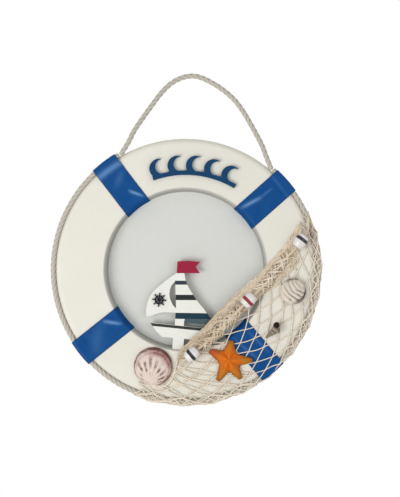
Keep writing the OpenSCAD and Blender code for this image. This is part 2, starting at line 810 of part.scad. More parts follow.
// a row of wave crests bent along the top of the ring
module wave_ornament() {
    base_r = (flat_r + window_r) / 2 - wave_crest * 0.45;
    pitch = wave_step / (base_r + wave_crest / 2) * 180 / PI;
    swell = wave_crest * 0.5;
    color([0.09, 0.25, 0.40])
        translate([0, 0, front_h + glue_gap])
            linear_extrude(wave_t)
                union() {
                    difference() {
                        circle(base_r + wave_crest * 0.22);
                        circle(base_r);
                        for (s = [-1, 1])
                            rotate([0, 0, s * pitch * wave_n / 2])
                                translate([s > 0 ? -2 * ring_r : 0, -2 * ring_r])
                                    square([2 * ring_r, 4 * ring_r]);
                        translate([-2 * ring_r, -4 * ring_r])
                            square(4 * ring_r);
                    }
                    for (k = [0:wave_n - 1])
                        rotate([0, 0, pitch * ((wave_n - 1) / 2 - k)])
                            translate([0, base_r + swell])
                                difference() {
                                    circle(swell);
                                    translate([swell * 0.42, swell * 0.12])
                                        circle(swell * 0.78);
                                }
                }
}

hang() ring_body();
hang() felt_ring();
hang() backing_board();
hang() grey_card();
hang() button_screws();
hang() turn_button(buttons[0]);  // turn_button_right
hang() turn_button(buttons[1]);  // turn_button_top
hang() turn_button(buttons[2]);  // turn_button_left
hang() turn_button(buttons[3]);  // turn_button_bottom
hang() band(bands[0]);  // band_upper_right
hang() band(bands[1]);  // band_upper_left
hang() band(bands[2]);  // band_lower_left
hang() band(bands[3]);  // band_lower_right
hang() rim_rope();
hang() hanging_loop();
hang() net_front();
hang() net_rim();
hang() net_gather();
hang() head_rope();
hang() net_float(0);  // float_upper
hang() net_float(1);  // float_middle
hang() net_float(2);  // float_lower
hang() starfish();
hang() scallop_shell();
hang() clam_shell();
hang() snail_shell();
hang() boat_board();
hang() boat_flag();
hang() ship_wheel();
hang() wave_ornament();
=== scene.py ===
import math
import bmesh
import bpy
import numpy as np
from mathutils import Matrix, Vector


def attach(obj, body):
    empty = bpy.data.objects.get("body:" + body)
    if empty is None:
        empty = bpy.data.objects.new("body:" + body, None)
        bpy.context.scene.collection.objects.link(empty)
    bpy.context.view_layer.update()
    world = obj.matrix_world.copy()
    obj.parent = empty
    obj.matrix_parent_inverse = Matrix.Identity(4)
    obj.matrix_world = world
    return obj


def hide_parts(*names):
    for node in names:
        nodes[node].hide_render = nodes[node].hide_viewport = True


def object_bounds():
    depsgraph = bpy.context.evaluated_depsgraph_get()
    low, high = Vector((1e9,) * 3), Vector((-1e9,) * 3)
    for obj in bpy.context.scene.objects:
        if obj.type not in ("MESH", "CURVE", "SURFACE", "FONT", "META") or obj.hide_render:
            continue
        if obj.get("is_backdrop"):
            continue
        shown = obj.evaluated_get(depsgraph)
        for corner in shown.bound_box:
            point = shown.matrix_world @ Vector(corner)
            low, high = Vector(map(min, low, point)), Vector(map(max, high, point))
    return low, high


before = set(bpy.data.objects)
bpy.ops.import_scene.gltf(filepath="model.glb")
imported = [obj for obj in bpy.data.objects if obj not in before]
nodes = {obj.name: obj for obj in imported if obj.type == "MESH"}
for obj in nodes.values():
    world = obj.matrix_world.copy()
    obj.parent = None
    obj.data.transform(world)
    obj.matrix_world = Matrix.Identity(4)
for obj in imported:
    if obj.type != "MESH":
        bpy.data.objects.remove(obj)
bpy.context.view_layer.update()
rng = np.random.default_rng(11)
print("frame loaded:", len(nodes), "nodes")


# values side by side, as the last axis of one array
def columns(*parts):
    return np.stack(np.broadcast_arrays(*parts), -1)


# millimetres across, up the wall and out from it, to metres in the frame: x, minus out, up
def stand(points):
    p = np.asarray(points, float) / 1000
    return columns(p[..., 0], -p[..., 2], p[..., 1])


# sRGB hex to linear light, channel by channel
def paint(code):
    c = np.array([int(code[i:i + 2], 16) for i in (1, 3, 5)]) / 255
    return (*np.where(c <= 0.04045, c / 12.92, ((c + 0.055) / 1.055) ** 2.4), 1.0)


# adds a node with its settings, values and links, and gives the named output, or else the first one in use
def addNode(tree, kind, inputs, give=None, **settings):
    node = tree.nodes.new("ShaderNode" + kind)
    for key, value in settings.items():
        setattr(node, key, value)
    for key, value in inputs.items():
        socket = next(s for i, s in enumerate(node.inputs) if s.enabled and key in (i, s.name))
        if isinstance(value, bpy.types.NodeSocket):
            tree.links.new(value, socket)
        else:
            socket.default_value = paint(value) if isinstance(value, str) else value
    return node.outputs[give] if give else next(s for s in node.outputs if s.enabled)


# a material with its shader's own values; its patterns read the place on the piece or, if named, its map
def newMaterial(name, sockets, uvMap=None):
    material = bpy.data.materials.new(name)
    material.use_nodes = True
    tree = material.node_tree
    for key, value in sockets.items():
        tree.nodes["Principled BSDF"].inputs[key].default_value = value
    where = addNode(tree, "UVMap", {}, uv_map=uvMap) if uvMap else addNode(tree, "TexCoord", {}, "Object")
    return material, tree, where


# a material with a ground of two tones, mixed by a cloud of noise that may be stretched
def clouded(name, sockets, noise, tones, uvMap=None, stretch=None):
    material, tree, where = newMaterial(name, sockets, uvMap)
    drawn = addNode(tree, "Mapping", {"Vector": where, "Scale": stretch}) if stretch else where
    cloud = addNode(tree, "TexNoise", {"Vector": drawn, **noise})
    tone = addNode(tree, "Mix", {"Factor": cloud, "A": tones[0], "B": tones[1]}, data_type="RGBA")
    return material, tree, where, cloud, tone


# marks in their colours over a tone, each as strong as the piece's value of that name, thinner where worn
def addMarks(tree, tone, marks, worn=None):
    for key, colour in marks.items():
        mark = addNode(tree, "Attribute", {}, "Fac", attribute_name=key)
        if worn:
            mark = addNode(tree, "Math", {0: mark, 1: worn}, operation="MULTIPLY")
        tone = addNode(tree, "Mix", {"Factor": mark, "A": tone, "B": colour}, data_type="RGBA")
    return tone


# joins a colour, a bump with its strength and its depth in metres, and a roughness to the shader
def wire(tree, colour, height, strength, distance, rough=None):
    shader = tree.nodes["Principled BSDF"]
    tree.links.new(colour, shader.inputs["Base Color"])
    bump = addNode(tree, "Bump", {"Height": height, "Strength": strength, "Distance": distance})
    tree.links.new(bump, shader.inputs["Normal"])
    if rough:
        tree.links.new(rough, shader.inputs["Roughness"])


# an object for its data, linked to the scene
def newObject(name, data):
    made = bpy.data.objects.new(name, data)
    bpy.context.scene.collection.objects.link(made)
    return made


# quads of a grid of nu by nv points, and each corner's place on the grid, not wrapped where the grid closes
def gridFaces(nu, nv, closeU=False, closeV=False):
    i, j = np.meshgrid(np.arange(nu - (not closeU)), np.arange(nv - (not closeV)), indexing="ij")
    steps = ((0, 0), (1, 0), (1, 1), (0, 1))
    corners = np.stack([columns(i.ravel() + a, j.ravel() + b) for a, b in steps], 1)
    return (corners[..., 0] % nu) * nv + corners[..., 1] % nv, corners


# points in millimetres and their faces, put into a mesh at the origin; uv has one pair for each face corner
def putMesh(name, points, faces, material, uv=None, values=None):
    mesh = bpy.data.meshes.new(name)
    mesh.from_pydata(stand(points).reshape(-1, 3).tolist(), [], faces.tolist())
    mesh.polygons.foreach_set("use_smooth", np.ones(len(mesh.polygons), bool))
    if uv is not None:
        mesh.uv_layers.new(name="lay").data.foreach_set("uv", np.asarray(uv, np.float32).ravel())
    for key, data in (values or {}).items():
        attribute = mesh.attributes.new(key, "FLOAT", "POINT")
        attribute.data.foreach_set("value", np.asarray(data, np.float32).ravel())
    shape = bmesh.new()
    shape.from_mesh(mesh)
    bmesh.ops.remove_doubles(shape, verts=shape.verts, dist=1e-7)
    shape.to_mesh(mesh)
    shape.free()
    mesh.materials.append(material)
    mesh.update()
    return newObject(name, mesh)


# the piece rides on a body and stands in for solids, which it hides; slot is not used
def place(piece, body, slot, *solids):
    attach(piece, body)
    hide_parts(*solids)


# vectors divided by their lengths
def unitRows(v):
    return v / np.linalg.norm(v, axis=-1, keepdims=True)


# a value held between nothing and one
def held(v):
    return np.clip(v, 0, 1)


# nothing up to a start, then rising to one over a given length
def risen(v, start, over):
    return held((v - start) / over)


# a sine wave one way, swayed by a sine wave the other way
def waved(u, v, fine, sway, slow):
    return np.sin(fine * u + sway * np.sin(slow * v))


# even steps round a circle
def roundSteps(count):
    return np.arange(count) * 2 * np.pi / count


# the length from the start of a line to each of its points
def lengthAlong(path):
    return np.concatenate([[0], np.cumsum(np.linalg.norm(np.diff(path, axis=0), axis=1))])


# a line of points read at any lengths along it, straight from point to point
def readLine(at, lengths, line):
    return np.stack([np.interp(at, lengths, column) for column in line.T], -1)


# a smooth line through points, in even steps: a cubic whose slope at each point follows its neighbours' chord
def smoothLine(points, count):
    p = np.asarray(points, float)
    ext = np.concatenate([[2 * p[0] - p[1]], p, [2 * p[-1] - p[-2]]])
    t = np.linspace(0, len(p) - 1, 40 * len(p))
    k = np.minimum(t.astype(int), len(p) - 2)
    f = (t - k)[:, None]
    a, b, c, d = ext[k], ext[k + 1], ext[k + 2], ext[k + 3]
    bend = (a - 2.5 * b + 2 * c - d / 2) * f ** 2
    q = b + (c - a) * f / 2 + bend + (1.5 * b - a / 2 - 1.5 * c + d / 2) * f ** 3
    s = lengthAlong(q)
    return readLine(np.linspace(0, s[-1], count), s, q), s[-1]


# camera: straight in front of the window, rolled so that the ring leans to the right as it hangs
view = {"distance": 1.1, "frameHeight": 0.473, "aim": (0.0117, -0.02, 0.0212), "lean": 5.5, "sensor": 36,
        "near": 0.05}
camera = newObject("camera", bpy.data.cameras.new("camera"))
camera.data.sensor_width = view["sensor"]
camera.data.lens = view["sensor"] * view["distance"] / view["frameHeight"]
camera.data.clip_start = view["near"]
camera.location = (view["aim"][0], view["aim"][1] - view["distance"], view["aim"][2])
camera.rotation_euler = (math.radians(90), math.radians(-view["lean"]), 0)
bpy.context.scene.camera = camera

# the ring's section as the solids have it, in millimetres from the axis and from the wall: the card, the
# window's sloped wall and rounded edge, the front, the rim, the rounded back edge, and the rope with its
# free side
ring = {"card": 8.1, "slope": 15.0, "edge": (79.0, 18.5), "edgeRound": 1.5, "frontEnd": 117.0, "front": 20.0,
        "rim": 125.0, "rimTop": 8.657, "backEdge": (122.0, 5.0), "backRound": 3.0, "back": 2.0,
        "ropeAt": (126.174, 18.657), "rope": 2.5, "ropeTurn": (96, -22)}

# jute rope: pale grey-brown fibre, matt, with painted shade darkening the grooves between its strands
juteRope, tree, _, fibre, tone = clouded(
    "juteLaidRope", {"Roughness": 0.92, "Specular IOR Level": 0.15},
    {"Scale": 1.6, "Detail": 4, "Roughness": 0.65}, ("#b1ab9e", "#dad5c8"), "lay",
    stretch=(14, 0.35, 1))  # fibres 0.4 by 3 mm
# painted shade: the rope's colour darkens where its section dips between strands
groove = addNode(tree, "Attribute", {}, "Fac", attribute_name="groove")
depth = addNode(tree, "MapRange", {"Value": groove, "From Max": 0.6, "To Min": 0.72})
tone = addNode(tree, "Mix", {"Factor": 1.0, "A": tone, "B": depth}, data_type="RGBA", blend_type="MULTIPLY")
wire(tree, tone, fibre, 0.6, 0.0004)

# shares of a rope's radius: a strand, its distance from the middle, how far both are pressed to a circle,
# and the bound ends with the length that they fade over; they stop at boundStop of that length
ropeLay = {"strand": 0.515, "centre": 0.485, "pressed": 0.45, "circle": 0.98, "bound": 0.97, "fade": 1.2,
           "boundStop": 1.6}


# three strands laid round each other: the section is the outline of three circles whose centres lie round
# the rope's middle, pressed half way to a full circle, and it turns once in every pitch along the path; both
# ends are bound round and rounded over
def laidRope(name, path, rope, material):
    radius, sides = rope["radius"], rope["sides"]
    tangent = unitRows(np.gradient(path, axis=0))
    side = unitRows(np.cross([0.0, 0.0, 1.0], tangent))
    up = np.cross(tangent, side)
    s = lengthAlong(path)
    strand, centre = ropeLay["strand"] * radius, ropeLay["centre"] * radius
    phi = roundSteps(sides)
    near = (phi + np.pi / 3) % (2 * np.pi / 3) - np.pi / 3
    section = centre * np.cos(near) + np.sqrt(strand ** 2 - (centre * np.sin(near)) ** 2)
    section = section + ropeLay["pressed"] * (ropeLay["circle"] * radius - section)
    fromEnd = np.minimum(s, s[-1] - s)
    bound = held(ropeLay["boundStop"] - fromEnd / (ropeLay["fade"] * radius))[:, None]
    rho = section + bound * (ropeLay["bound"] * radius - section)
    rho = rho * np.sqrt(1 - (1 - np.minimum(1, fromEnd / rope["roundEnd"])) ** 2)[:, None]
    turn = phi + 2 * np.pi * s[:, None] / rope["pitch"]
    points = path[:, None] + rho[..., None] * (
        np.cos(turn)[..., None] * side[:, None] + np.sin(turn)[..., None] * up[:, None])
    quads, corners = gridFaces(len(path), sides, closeV=True)
    uv = columns(corners[..., 1] / sides * 3, s[corners[..., 0]])[:, ::-1]
    depth = (section - section.min()) / (section.max() - section.min())
    values = {"groove": np.broadcast_to(depth, rho.shape)}
    if "agedAndShaded" in rope:
        values["agedAndShaded"] = np.full(rho.shape, rope["agedAndShaded"])
    return putMesh(name, points, quads[:, ::-1], material, uv, values)


# the hanging loop: free rope between its two points on the rim, leaning back to the wall, with a ball end in
# either cup; its route is across, above the line between those points, and towards the wall
loop = {"radius": 2.5, "pitch": 17.0, "sides": 36, "roundEnd": 2.5, "hinge": (71.288, 104.355, 18.793),
        "clear": 0.1, "points": 430}
loopRoute = [
    (-66, 11, 1), (-62, 22, 3), (-57, 32, 5), (-51.5, 42, 7), (-45.5, 52.5, 8), (-39, 63, 10),
    (-31.5, 72, 11), (-22, 78.5, 12), (-12, 81.5, 12.5), (-2, 80.5, 12.5), (9.5, 76, 12), (20.5, 70, 11),
    (31, 62, 9.5), (40, 52, 8), (48, 41, 6.5), (55, 30.5, 5), (61.5, 20, 3), (66, 10.5, 1)]
hinge = np.array(loop["hinge"])
leftHinge = hinge * [-1, 1, 1]
loopPoints = hinge * [0, 1, 1] + np.array(loopRoute) * [1, 1, -1]
loopPoints = np.concatenate([[leftHinge], loopPoints, [hinge]])
beyond = unitRows(loopPoints[[0, -1]] - loopPoints[[1, -2]]) * (loop["radius"] - loop["clear"])
loopPath, loopLength = smoothLine(
    np.concatenate([[leftHinge + beyond[0]], loopPoints, [hinge + beyond[1]]]), loop["points"])
hangingRope = laidRope("hangingRope", loopPath, loop, juteRope)
place(hangingRope, "loop", "rope", "hanging_loop")
print("camera and hanging rope made, rope %.0f mm" % loopLength)

# the rope round the rim, under the bands, from the left of the loop round the bottom to its right
rim = {"radius": ring["rope"], "pitch": 17.0, "sides": 36, "roundEnd": 0.4, "from": 124.34, "short": 2.7,
       "points": 900}
ropeR, ropeH = ring["ropeAt"]
gapAngle = math.degrees(rim["short"] / ropeR)
sweep = np.radians(np.linspace(rim["from"] + gapAngle, 540 - rim["from"] - gapAngle, rim["points"]))
rimPath = columns(ropeR * np.cos(sweep), ropeR * np.sin(sweep), ropeH)
rimRope = laidRope("rimRope", rimPath, rim, juteRope)
place(rimRope, "frame", "rope", "rim_rope")
print("rim rope made")

# lamps: a soft one in front, low on the left, a weak one on the right, and one behind
lamps = {
    "key": {"at": (-0.72, -1.0, -0.4), "size": 0.7, "power": 8.5},
    "fill": {"at": (0.9, -1.3, 0.2), "size": 0.9, "power": 3.5},
    "back": {"at": (0.2, 1.4, 0.9), "size": 1.2, "power": 9.0}}
lampAim = np.array([0, 0, 0.02])
for name, lamp in lamps.items():
    light = newObject(name, bpy.data.lights.new(name, "AREA"))
    light.data.size = lamp["size"]
    light.data.energy = lamp["power"]
    light.location = lamp["at"]
    aim = lampAim - lamp["at"]
    light.rotation_euler = (math.atan2(math.hypot(aim[0], aim[1]), -aim[2]), 0, math.atan2(-aim[0], aim[1]))

# the world gives a plain even light, and is white where it is seen or mirrored
skyLight = {"onObject": 0.54, "seen": 1.0}
world = bpy.data.worlds.new("paleStudio")
bpy.context.scene.world = world
world.use_nodes = True
tree = world.node_tree
sky = tree.nodes["Background"]
sky.inputs["Color"].default_value = (1, 1, 1, 1)
rays = addNode(tree, "LightPath", {}).node.outputs
seen = addNode(tree, "Math", {0: rays["Is Camera Ray"], 1: rays["Is Glossy Ray"]}, operation="MAXIMUM")
seen = addNode(tree, "Math", {0: seen, 1: rays["Is Transmission Ray"]}, operation="MAXIMUM")
level = addNode(tree, "MapRange", {"Value": seen, "To Min": skyLight["onObject"], "To Max": skyLight["seen"]})
tree.links.new(level, sky.inputs["Strength"])
bpy.context.scene.view_settings.view_transform = "Standard"

# a pale floor well under the hanging object
floorSize = {"half": 0.55, "under": -0.42}
paleFloor, tree, _, grain, tone = clouded(
    "paleFloor", {"Roughness": 0.9}, {"Scale": 60, "Detail": 3}, ("#ededeb", "#f3f3f1"))
wire(tree, tone, grain, 0.1, 0.0005)
floorMesh = bpy.data.meshes.new("floor")
half, under = floorSize["half"], floorSize["under"]
square = [(-half, -half, under), (half, -half, under), (half, half, under), (-half, half, under)]
floorMesh.from_pydata(square, [], [(0, 1, 2, 3)])
floorMesh.materials.append(paleFloor)
floor = newObject("floor", floorMesh)
floor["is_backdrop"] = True
print("lamps and floor set")


# gives solids a material in place of their own
def dress(material, *names):
    for name in names:
        nodes[name].data.materials.clear()
        nodes[name].data.materials.append(material)


# satin cream paint on board: even, slightly warm, with faint brush marks; the window's wall is painted grey
# as painted shade, to a distance from the axis and fading out up to another
wallShade = {"to": 0.0757, "out": 0.079, "grey": "#a09f9a"}
creamPaint, tree, where, cloud, tone = clouded(
    "creamSatinPaint", {"Specular IOR Level": 0.25}, {"Scale": 28, "Detail": 3, "Roughness": 0.6},
    ("#dfdcd0", "#e9e6db"))
flat = addNode(tree, "VectorMath", {0: where, 1: (1, 0, 1)}, operation="MULTIPLY")
radius = addNode(tree, "VectorMath", {0: flat}, operation="LENGTH")
# painted shade: the window's wall turns grey, fading out before its rounded front edge
wall = addNode(tree, "MapRange", {
    "Value": radius, "From Min": wallShade["to"], "From Max": wallShade["out"], "To Min": 1.0, "To Max": 0.0})
tone = addNode(tree, "Mix", {"Factor": wall, "A": tone, "B": wallShade["grey"]}, data_type="RGBA")
peel = addNode(tree, "TexNoise", {"Vector": where, "Scale": 900, "Detail": 2})  # about 1 mm
sheen = addNode(tree, "MapRange", {"Value": cloud, "To Min": 0.42, "To Max": 0.58})
wire(tree, tone, peel, 0.12, 0.0003, sheen)
dress(creamPaint, "ring_body")

# pressed hardboard: brown fibre, darker flecks, and the print of a screen on its rough side
hardboard, tree, where, fleck, tone = clouded(
    "pressedHardboard", {"Roughness": 0.78}, {"Scale": 700, "Detail": 5, "Roughness": 0.7},
    ("#4e3422", "#9a7350"))
wires = {"Vector": where, "Scale": 98, "Distortion": 0.4}  # 3.2 mm apart, coarser than real to show
screenX = addNode(tree, "TexWave", wires, "Fac", bands_direction="X")
screenZ = addNode(tree, "TexWave", wires, "Fac", bands_direction="Z")
screen = addNode(tree, "Math", {0: screenX, 1: screenZ}, operation="MULTIPLY")
rough = addNode(tree, "Math", {0: screen, 1: fleck}, operation="ADD")
wire(tree, tone, rough, 0.5, 0.0003)
dress(hardboard, "backing_board")

# uncoated grey card: flat, matt, with a faint cloud of fibres
greyCard, tree, _, cloud, tone = clouded(
    "uncoatedGreyCard", {"Roughness": 0.95, "Specular IOR Level": 0.1},
    {"Scale": 240, "Detail": 5, "Roughness": 0.7}, ("#d3d4cf", "#dbdcd7"))
wire(tree, tone, cloud, 0.15, 0.0001)
dress(greyCard, "grey_card")

# zinc-plated screws and brass-plated turn buttons: bright plating with fine scratches and dull patches
platings = [
    ("zincPlatedSteel", "#b9bcc0", "#8f9398", 0.3, ["button_screws"]),
    ("brassPlatedSteel", "#cbb06a", "#94783c", 0.26, [n for n in nodes if n.startswith("turn_button")])]
for name, bright, dull, gloss, members in platings:
    plated, tree, where, patch, tone = clouded(
        name, {"Metallic": 1.0}, {"Scale": 260, "Detail": 4}, (bright, dull))
    stretch = addNode(tree, "Mapping", {"Vector": where, "Scale": (3000, 3000, 200)})
    scratch = addNode(tree, "TexNoise", {"Vector": stretch, "Scale": 1.0, "Detail": 2})
    rough = addNode(tree, "MapRange", {"Value": patch, "To Min": gloss - 0.06, "To Max": gloss + 0.16})
    wire(tree, tone, scratch, 0.1, 0.0001, rough)
    dress(plated, *members)

# brushed poster paints on the small sawn pieces: thin, streaky along the brush, slightly chalky
smallPaints = [
    ("redFlagPaint", "#8a1732", "#a52c49", "boat_flag"),
    ("blackWheelPaint", "#0e1116", "#20262e", "ship_wheel"),
    ("navyWavePaint", "#0b3156", "#174a73", "wave_ornament")]
for name, dark, pale, member in smallPaints:
    brushed, tree, _, streak, tone = clouded(
        name, {"Specular IOR Level": 0.12}, {"Scale": 1.0, "Detail": 4, "Roughness": 0.6}, (dark, pale),
        stretch=(120, 400, 700))
    rough = addNode(tree, "MapRange", {"Value": streak, "To Min": 0.5, "To Max": 0.7})
    wire(tree, tone, streak, 0.2, 0.0002, rough)
    dress(brushed, member)

# white poster paint on the boat, with slanting dark stripes across the mainsail, a slate one along its foot
# and one along the gunwale; a stripe is its left end, its upper edge there, its slope in degrees, its width
# and its two tones
boatStripes = [
    (-9.2, -11.7, 5.4, 3.8, "#222831", "#3a444f"), (-7.1, -25.0, 5.4, 5.1, "#141918", "#2a3130"),
    (-6.6, -42.2, 4.6, 5.8, "#0c2532", "#183d4f"), (3.6, -47.2, 4.6, 6.0, "#384a50", "#546970"),
    (-40, -53.9, -0.4, 2.7, "#1e2120", "#383c39")]
boatPaint, tree, where, streak, tone = clouded(
    "whiteBoatPaint", {"Specular IOR Level": 0.2, "Roughness": 0.6}, {"Scale": 1.0, "Detail": 4},
    ("#e2e2da", "#f2f2ec"), stretch=(90, 300, 600))
axes = addNode(tree, "SeparateXYZ", {"Vector": where}).node.outputs
for left, top, slope, width, dark, pale in boatStripes:
    climb = math.tan(math.radians(slope))
    middle = (top - width / 2 - climb * left) / 1000
    line = addNode(tree, "Math", {0: axes["X"], 1: -climb, 2: axes["Z"]}, operation="MULTIPLY_ADD")
    band = addNode(tree, "Math", {0: line, 1: middle, 2: width / 2000}, operation="COMPARE")
    right = addNode(tree, "Math", {0: axes["X"], 1: left / 1000}, operation="GREATER_THAN")
    inside = addNode(tree, "Math", {0: band, 1: right}, operation="MULTIPLY")
    stripe = addNode(tree, "Mix", {"Factor": streak, "A": dark, "B": pale}, data_type="RGBA")
    tone = addNode(tree, "Mix", {"Factor": inside, "A": tone, "B": stripe}, data_type="RGBA")
wire(tree, tone, streak, 0.2, 0.0002)
dress(boatPaint, "boat_board")
print("solids dressed")

# turned wooden floats: white lacquer with one painted stripe round the belly; where each is, the direction
# of its bore, the stripe's colour and how far the stripe lies from the middle
floats = {
    "float_upper": {"at": (105.5, 37), "along": (-20.5, -33.5), "stripe": "#14182a", "shift": -2.2},
    "float_middle": {"at": (62, -23), "along": (-34, -41), "stripe": "#8e2029", "shift": 0.8},
    "float_lower": {"at": (13.5, -79), "along": (-26, -26), "stripe": "#10161f", "shift": 0.6}}
floatHeight = 29.7
floatStripe = {"half": 0.0016, "shake": 0.0004}  # in metres
for name, bead in floats.items():
    lacquer, tree, where, wobble, grime = clouded(
        "whiteLacquer" + name.split("_")[1].capitalize(),
        {"Roughness": 0.3, "Specular IOR Level": 0.4, "Coat Weight": 0.2}, {"Scale": 300, "Detail": 2},
        ("#d2cecb", "#f2f0ef"))
    bore = np.array([bead["along"][0], 0, bead["along"][1]]) / math.hypot(*bead["along"])
    middle = np.array([bead["at"][0], -floatHeight, bead["at"][1]]) @ bore + bead["shift"]
    along = addNode(tree, "VectorMath", {0: where, 1: tuple(bore)}, operation="DOT_PRODUCT")
    shake = addNode(tree, "MapRange", {
        "Value": wobble, "To Min": -floatStripe["shake"], "To Max": floatStripe["shake"]})
    along = addNode(tree, "Math", {0: along, 1: shake}, operation="ADD")
    belt = {0: along, 1: middle / 1000, 2: floatStripe["half"]}
    stripe = addNode(tree, "Math", belt, operation="COMPARE")
    tone = addNode(tree, "Mix", {"Factor": stripe, "A": grime, "B": bead["stripe"]}, data_type="RGBA")
    wire(tree, tone, wobble, 0.08, 0.0004)
    dress(lacquer, name)
print("floats dressed")

# glossy coated cloth: strong blue, plastic sheen over a fine weave, with a painted highlight in paler blue
# along its creases, darker near its long edges and dull on the window's wall
coatedCloth, tree, where, cloud, tone = clouded(
    "glossyCoatedCloth", {"Specular IOR Level": 0.12}, {"Scale": 0.09, "Detail": 3}, ("#053f7b", "#0d5291"),
    "lay")
# painted highlight: pale blue along the crease lines; darker colour near the long edges
tone = addMarks(tree, tone, {"fold": "#6f9bc9", "hem": "#07305e"})
gloss = addNode(tree, "MapRange", {"Value": cloud, "To Min": 0.24, "To Max": 0.4})
dull = addNode(tree, "Attribute", {}, "Fac", attribute_name="dull")
gloss = addNode(tree, "Mix", {"Factor": dull, "A": gloss, "B": 1.0})
threads = {"Vector": where, "Scale": 0.45, "Distortion": 0.6}  # 0.7 mm apart, coarser than real to show
warp = addNode(tree, "TexWave", threads, "Fac", bands_direction="X")
weft = addNode(tree, "TexWave", threads, "Fac", bands_direction="Y")
weave = addNode(tree, "Math", {0: warp, 1: weft}, operation="MULTIPLY")
wire(tree, tone, weave, 0.08, 0.0001, gloss)

# the straps, and their creases as lines on the cloth: start and end along the strap from the window and
# across it, then height and width; a strap under the net lies flatter
strap = {"width": 26.0, "thick": 0.5, "gap": 0.12, "end": 110.0, "steps": 200, "across": 44, "ripple": 0.05,
         "rippleLong": 5.1, "rippleWide": 3.7, "sway": 0.7, "swayWide": 4, "hold": 8, "hem": 1.2,
         "wall": 12.5, "wallFade": 1.5, "pale": 0.45}
bands = {
    "bandUpperRight": {"solid": "band_upper_right", "angle": 47, "lift": 1.0, "creases": [
        (15, 8.5, 34, 4, 0.8, 3.6), (33, 4.2, 48, 3.4, 0.25, 2.5), (54, -16, 56, 16, 0.12, 3)]},
    "bandUpperLeft": {"solid": "band_upper_left", "angle": 133, "lift": 1.0, "creases": [
        (54, -20, 55, 20, 0.62, 6.5), (16.5, -10, 27, -3.2, 0.85, 3), (46, -9, 38, 4, 0.15, 7)]},
    "bandLowerLeft": {"solid": "band_lower_left", "angle": 224, "lift": 1.0, "creases": [
        (15.5, 2, 27, -10, 0.75, 3.4), (34, -9, 52, 9, 0.12, 12)]},
    "bandLowerRight": {"solid": "band_lower_right", "angle": 316, "lift": 0.6, "creases": [
        (16, -8, 44, -3, 0.2, 3), (20, 7, 46, 9, 0.2, 3)]}}


# part of a circle, from one angle to another, as distances from the axis and from the wall
def arcPoints(middle, radius, first, last, count):
    a = np.radians(np.linspace(first, last, count))
    return columns(middle[0] + radius * np.cos(a), middle[1] + radius * np.sin(a))


# the ring's section under a band, moved out by off: window wall, front, over the rope, rim and back
def bandSection(off):
    edge = arcPoints(ring["edge"], ring["edgeRound"] + off, 180 - ring["slope"], 90, 12)
    foot = edge[0] - (edge[0, 1] - ring["card"]) * np.array([math.tan(math.radians(ring["slope"])), 1])
    overRope = arcPoints(ring["ropeAt"], ring["rope"] + off, *ring["ropeTurn"], 20)
    backEdge = arcPoints(ring["backEdge"], ring["backRound"] + off, 0, -90, 12)
    return np.concatenate([
        [foot], edge, [(ring["frontEnd"], ring["front"] + off)], overRope,
        [(ring["rim"] + off, ring["rimTop"])], backEdge, [(strap["end"], ring["back"] - off)]])


# a strap carried round that section: each point keeps its distance across the strap, so the sides stay
# parallel, and a crease lifts it by the bell curve of the distance to a line drawn on the cloth
def clothBand(name, band):
    n, m, half = strap["steps"], strap["across"], strap["width"] / 2
    low, high = bandSection(strap["gap"]), bandSection(strap["gap"] + strap["thick"])
    run = lengthAlong(high)
    s, w = np.meshgrid(np.linspace(0, run[-1], n), np.linspace(-half, half, m), indexing="ij")
    inner = readLine(s, run, low)
    outer = readLine(s, run, high)
    ripple = np.sin(s / strap["rippleLong"] + strap["sway"] * np.sin(w / strap["swayWide"]))
    rise = strap["ripple"] * ripple * np.cos(w / strap["rippleWide"] + band["angle"])
    fold = np.zeros_like(s)
    for s0, w0, s1, w1, height, width in band["creases"]:
        d = np.array([s1 - s0, w1 - w0])
        t = held(((s - s0) * d[0] + (w - w0) * d[1]) / (d @ d))
        gap = np.hypot(s - s0 - t * d[0], w - w0 - t * d[1])
        fade = np.sin(np.pi * held(t * 0.9 + 0.05)) ** 0.5  # to both ends
        rise += height * np.exp(-(gap / width) ** 2) * fade
        # painted highlight: a narrower bell along each crease line
        fold = np.maximum(fold, height * np.exp(-(gap / (strap["pale"] * width)) ** 2) * fade)
    hold = held(np.minimum(s, run[-1] - s) / strap["hold"])
    rise = np.maximum(rise, -strap["ripple"]) * hold * band["lift"]
    c, d = math.cos(math.radians(band["angle"])), math.sin(math.radians(band["angle"]))
    sides = []
    for base in (outer, inner):
        rh = base + unitRows(outer - inner) * rise[..., None]
        x = np.sqrt(rh[..., 0] ** 2 - w ** 2)
        sides.append(columns(x * c - w * d, x * d + w * c, rh[..., 1]))
    quads = gridFaces(n, m)[0]
    count = n * m
    i, j = np.arange(n - 1) * m, np.arange(m - 1)
    far = (n - 1) * m + j
    edges = np.concatenate([
        columns(i + m, i, i + count, i + m + count),
        columns(i + m - 1, i + 2 * m - 1, i + 2 * m - 1 + count, i + m - 1 + count),
        columns(j, j + 1, j + 1 + count, j + count),
        columns(far + 1, far, far + count, far + 1 + count)])
    faces = np.concatenate([quads, quads[:, ::-1] + count, edges])
    flat = columns(np.tile(s.ravel(), 2), np.tile(w.ravel(), 2))
    # darker colour within a short width of both long edges
    hem = held(1 - (half - np.abs(w)) / strap["hem"]) ** 2
    dull = held((strap["wall"] - s) / strap["wallFade"])
    values = {key: np.tile(v.ravel(), 2) for key, v in (("hem", hem), ("fold", fold), ("dull", dull))}
    piece = putMesh(name, np.concatenate(sides), faces, coatedCloth, flat[faces.ravel()], values)
    place(piece, "frame", "band_cloth", band["solid"])
    return run[-1]


for name, band in bands.items():
    bandLength = clothBand(name, band)
print("bands made, %.0f mm each" % bandLength)
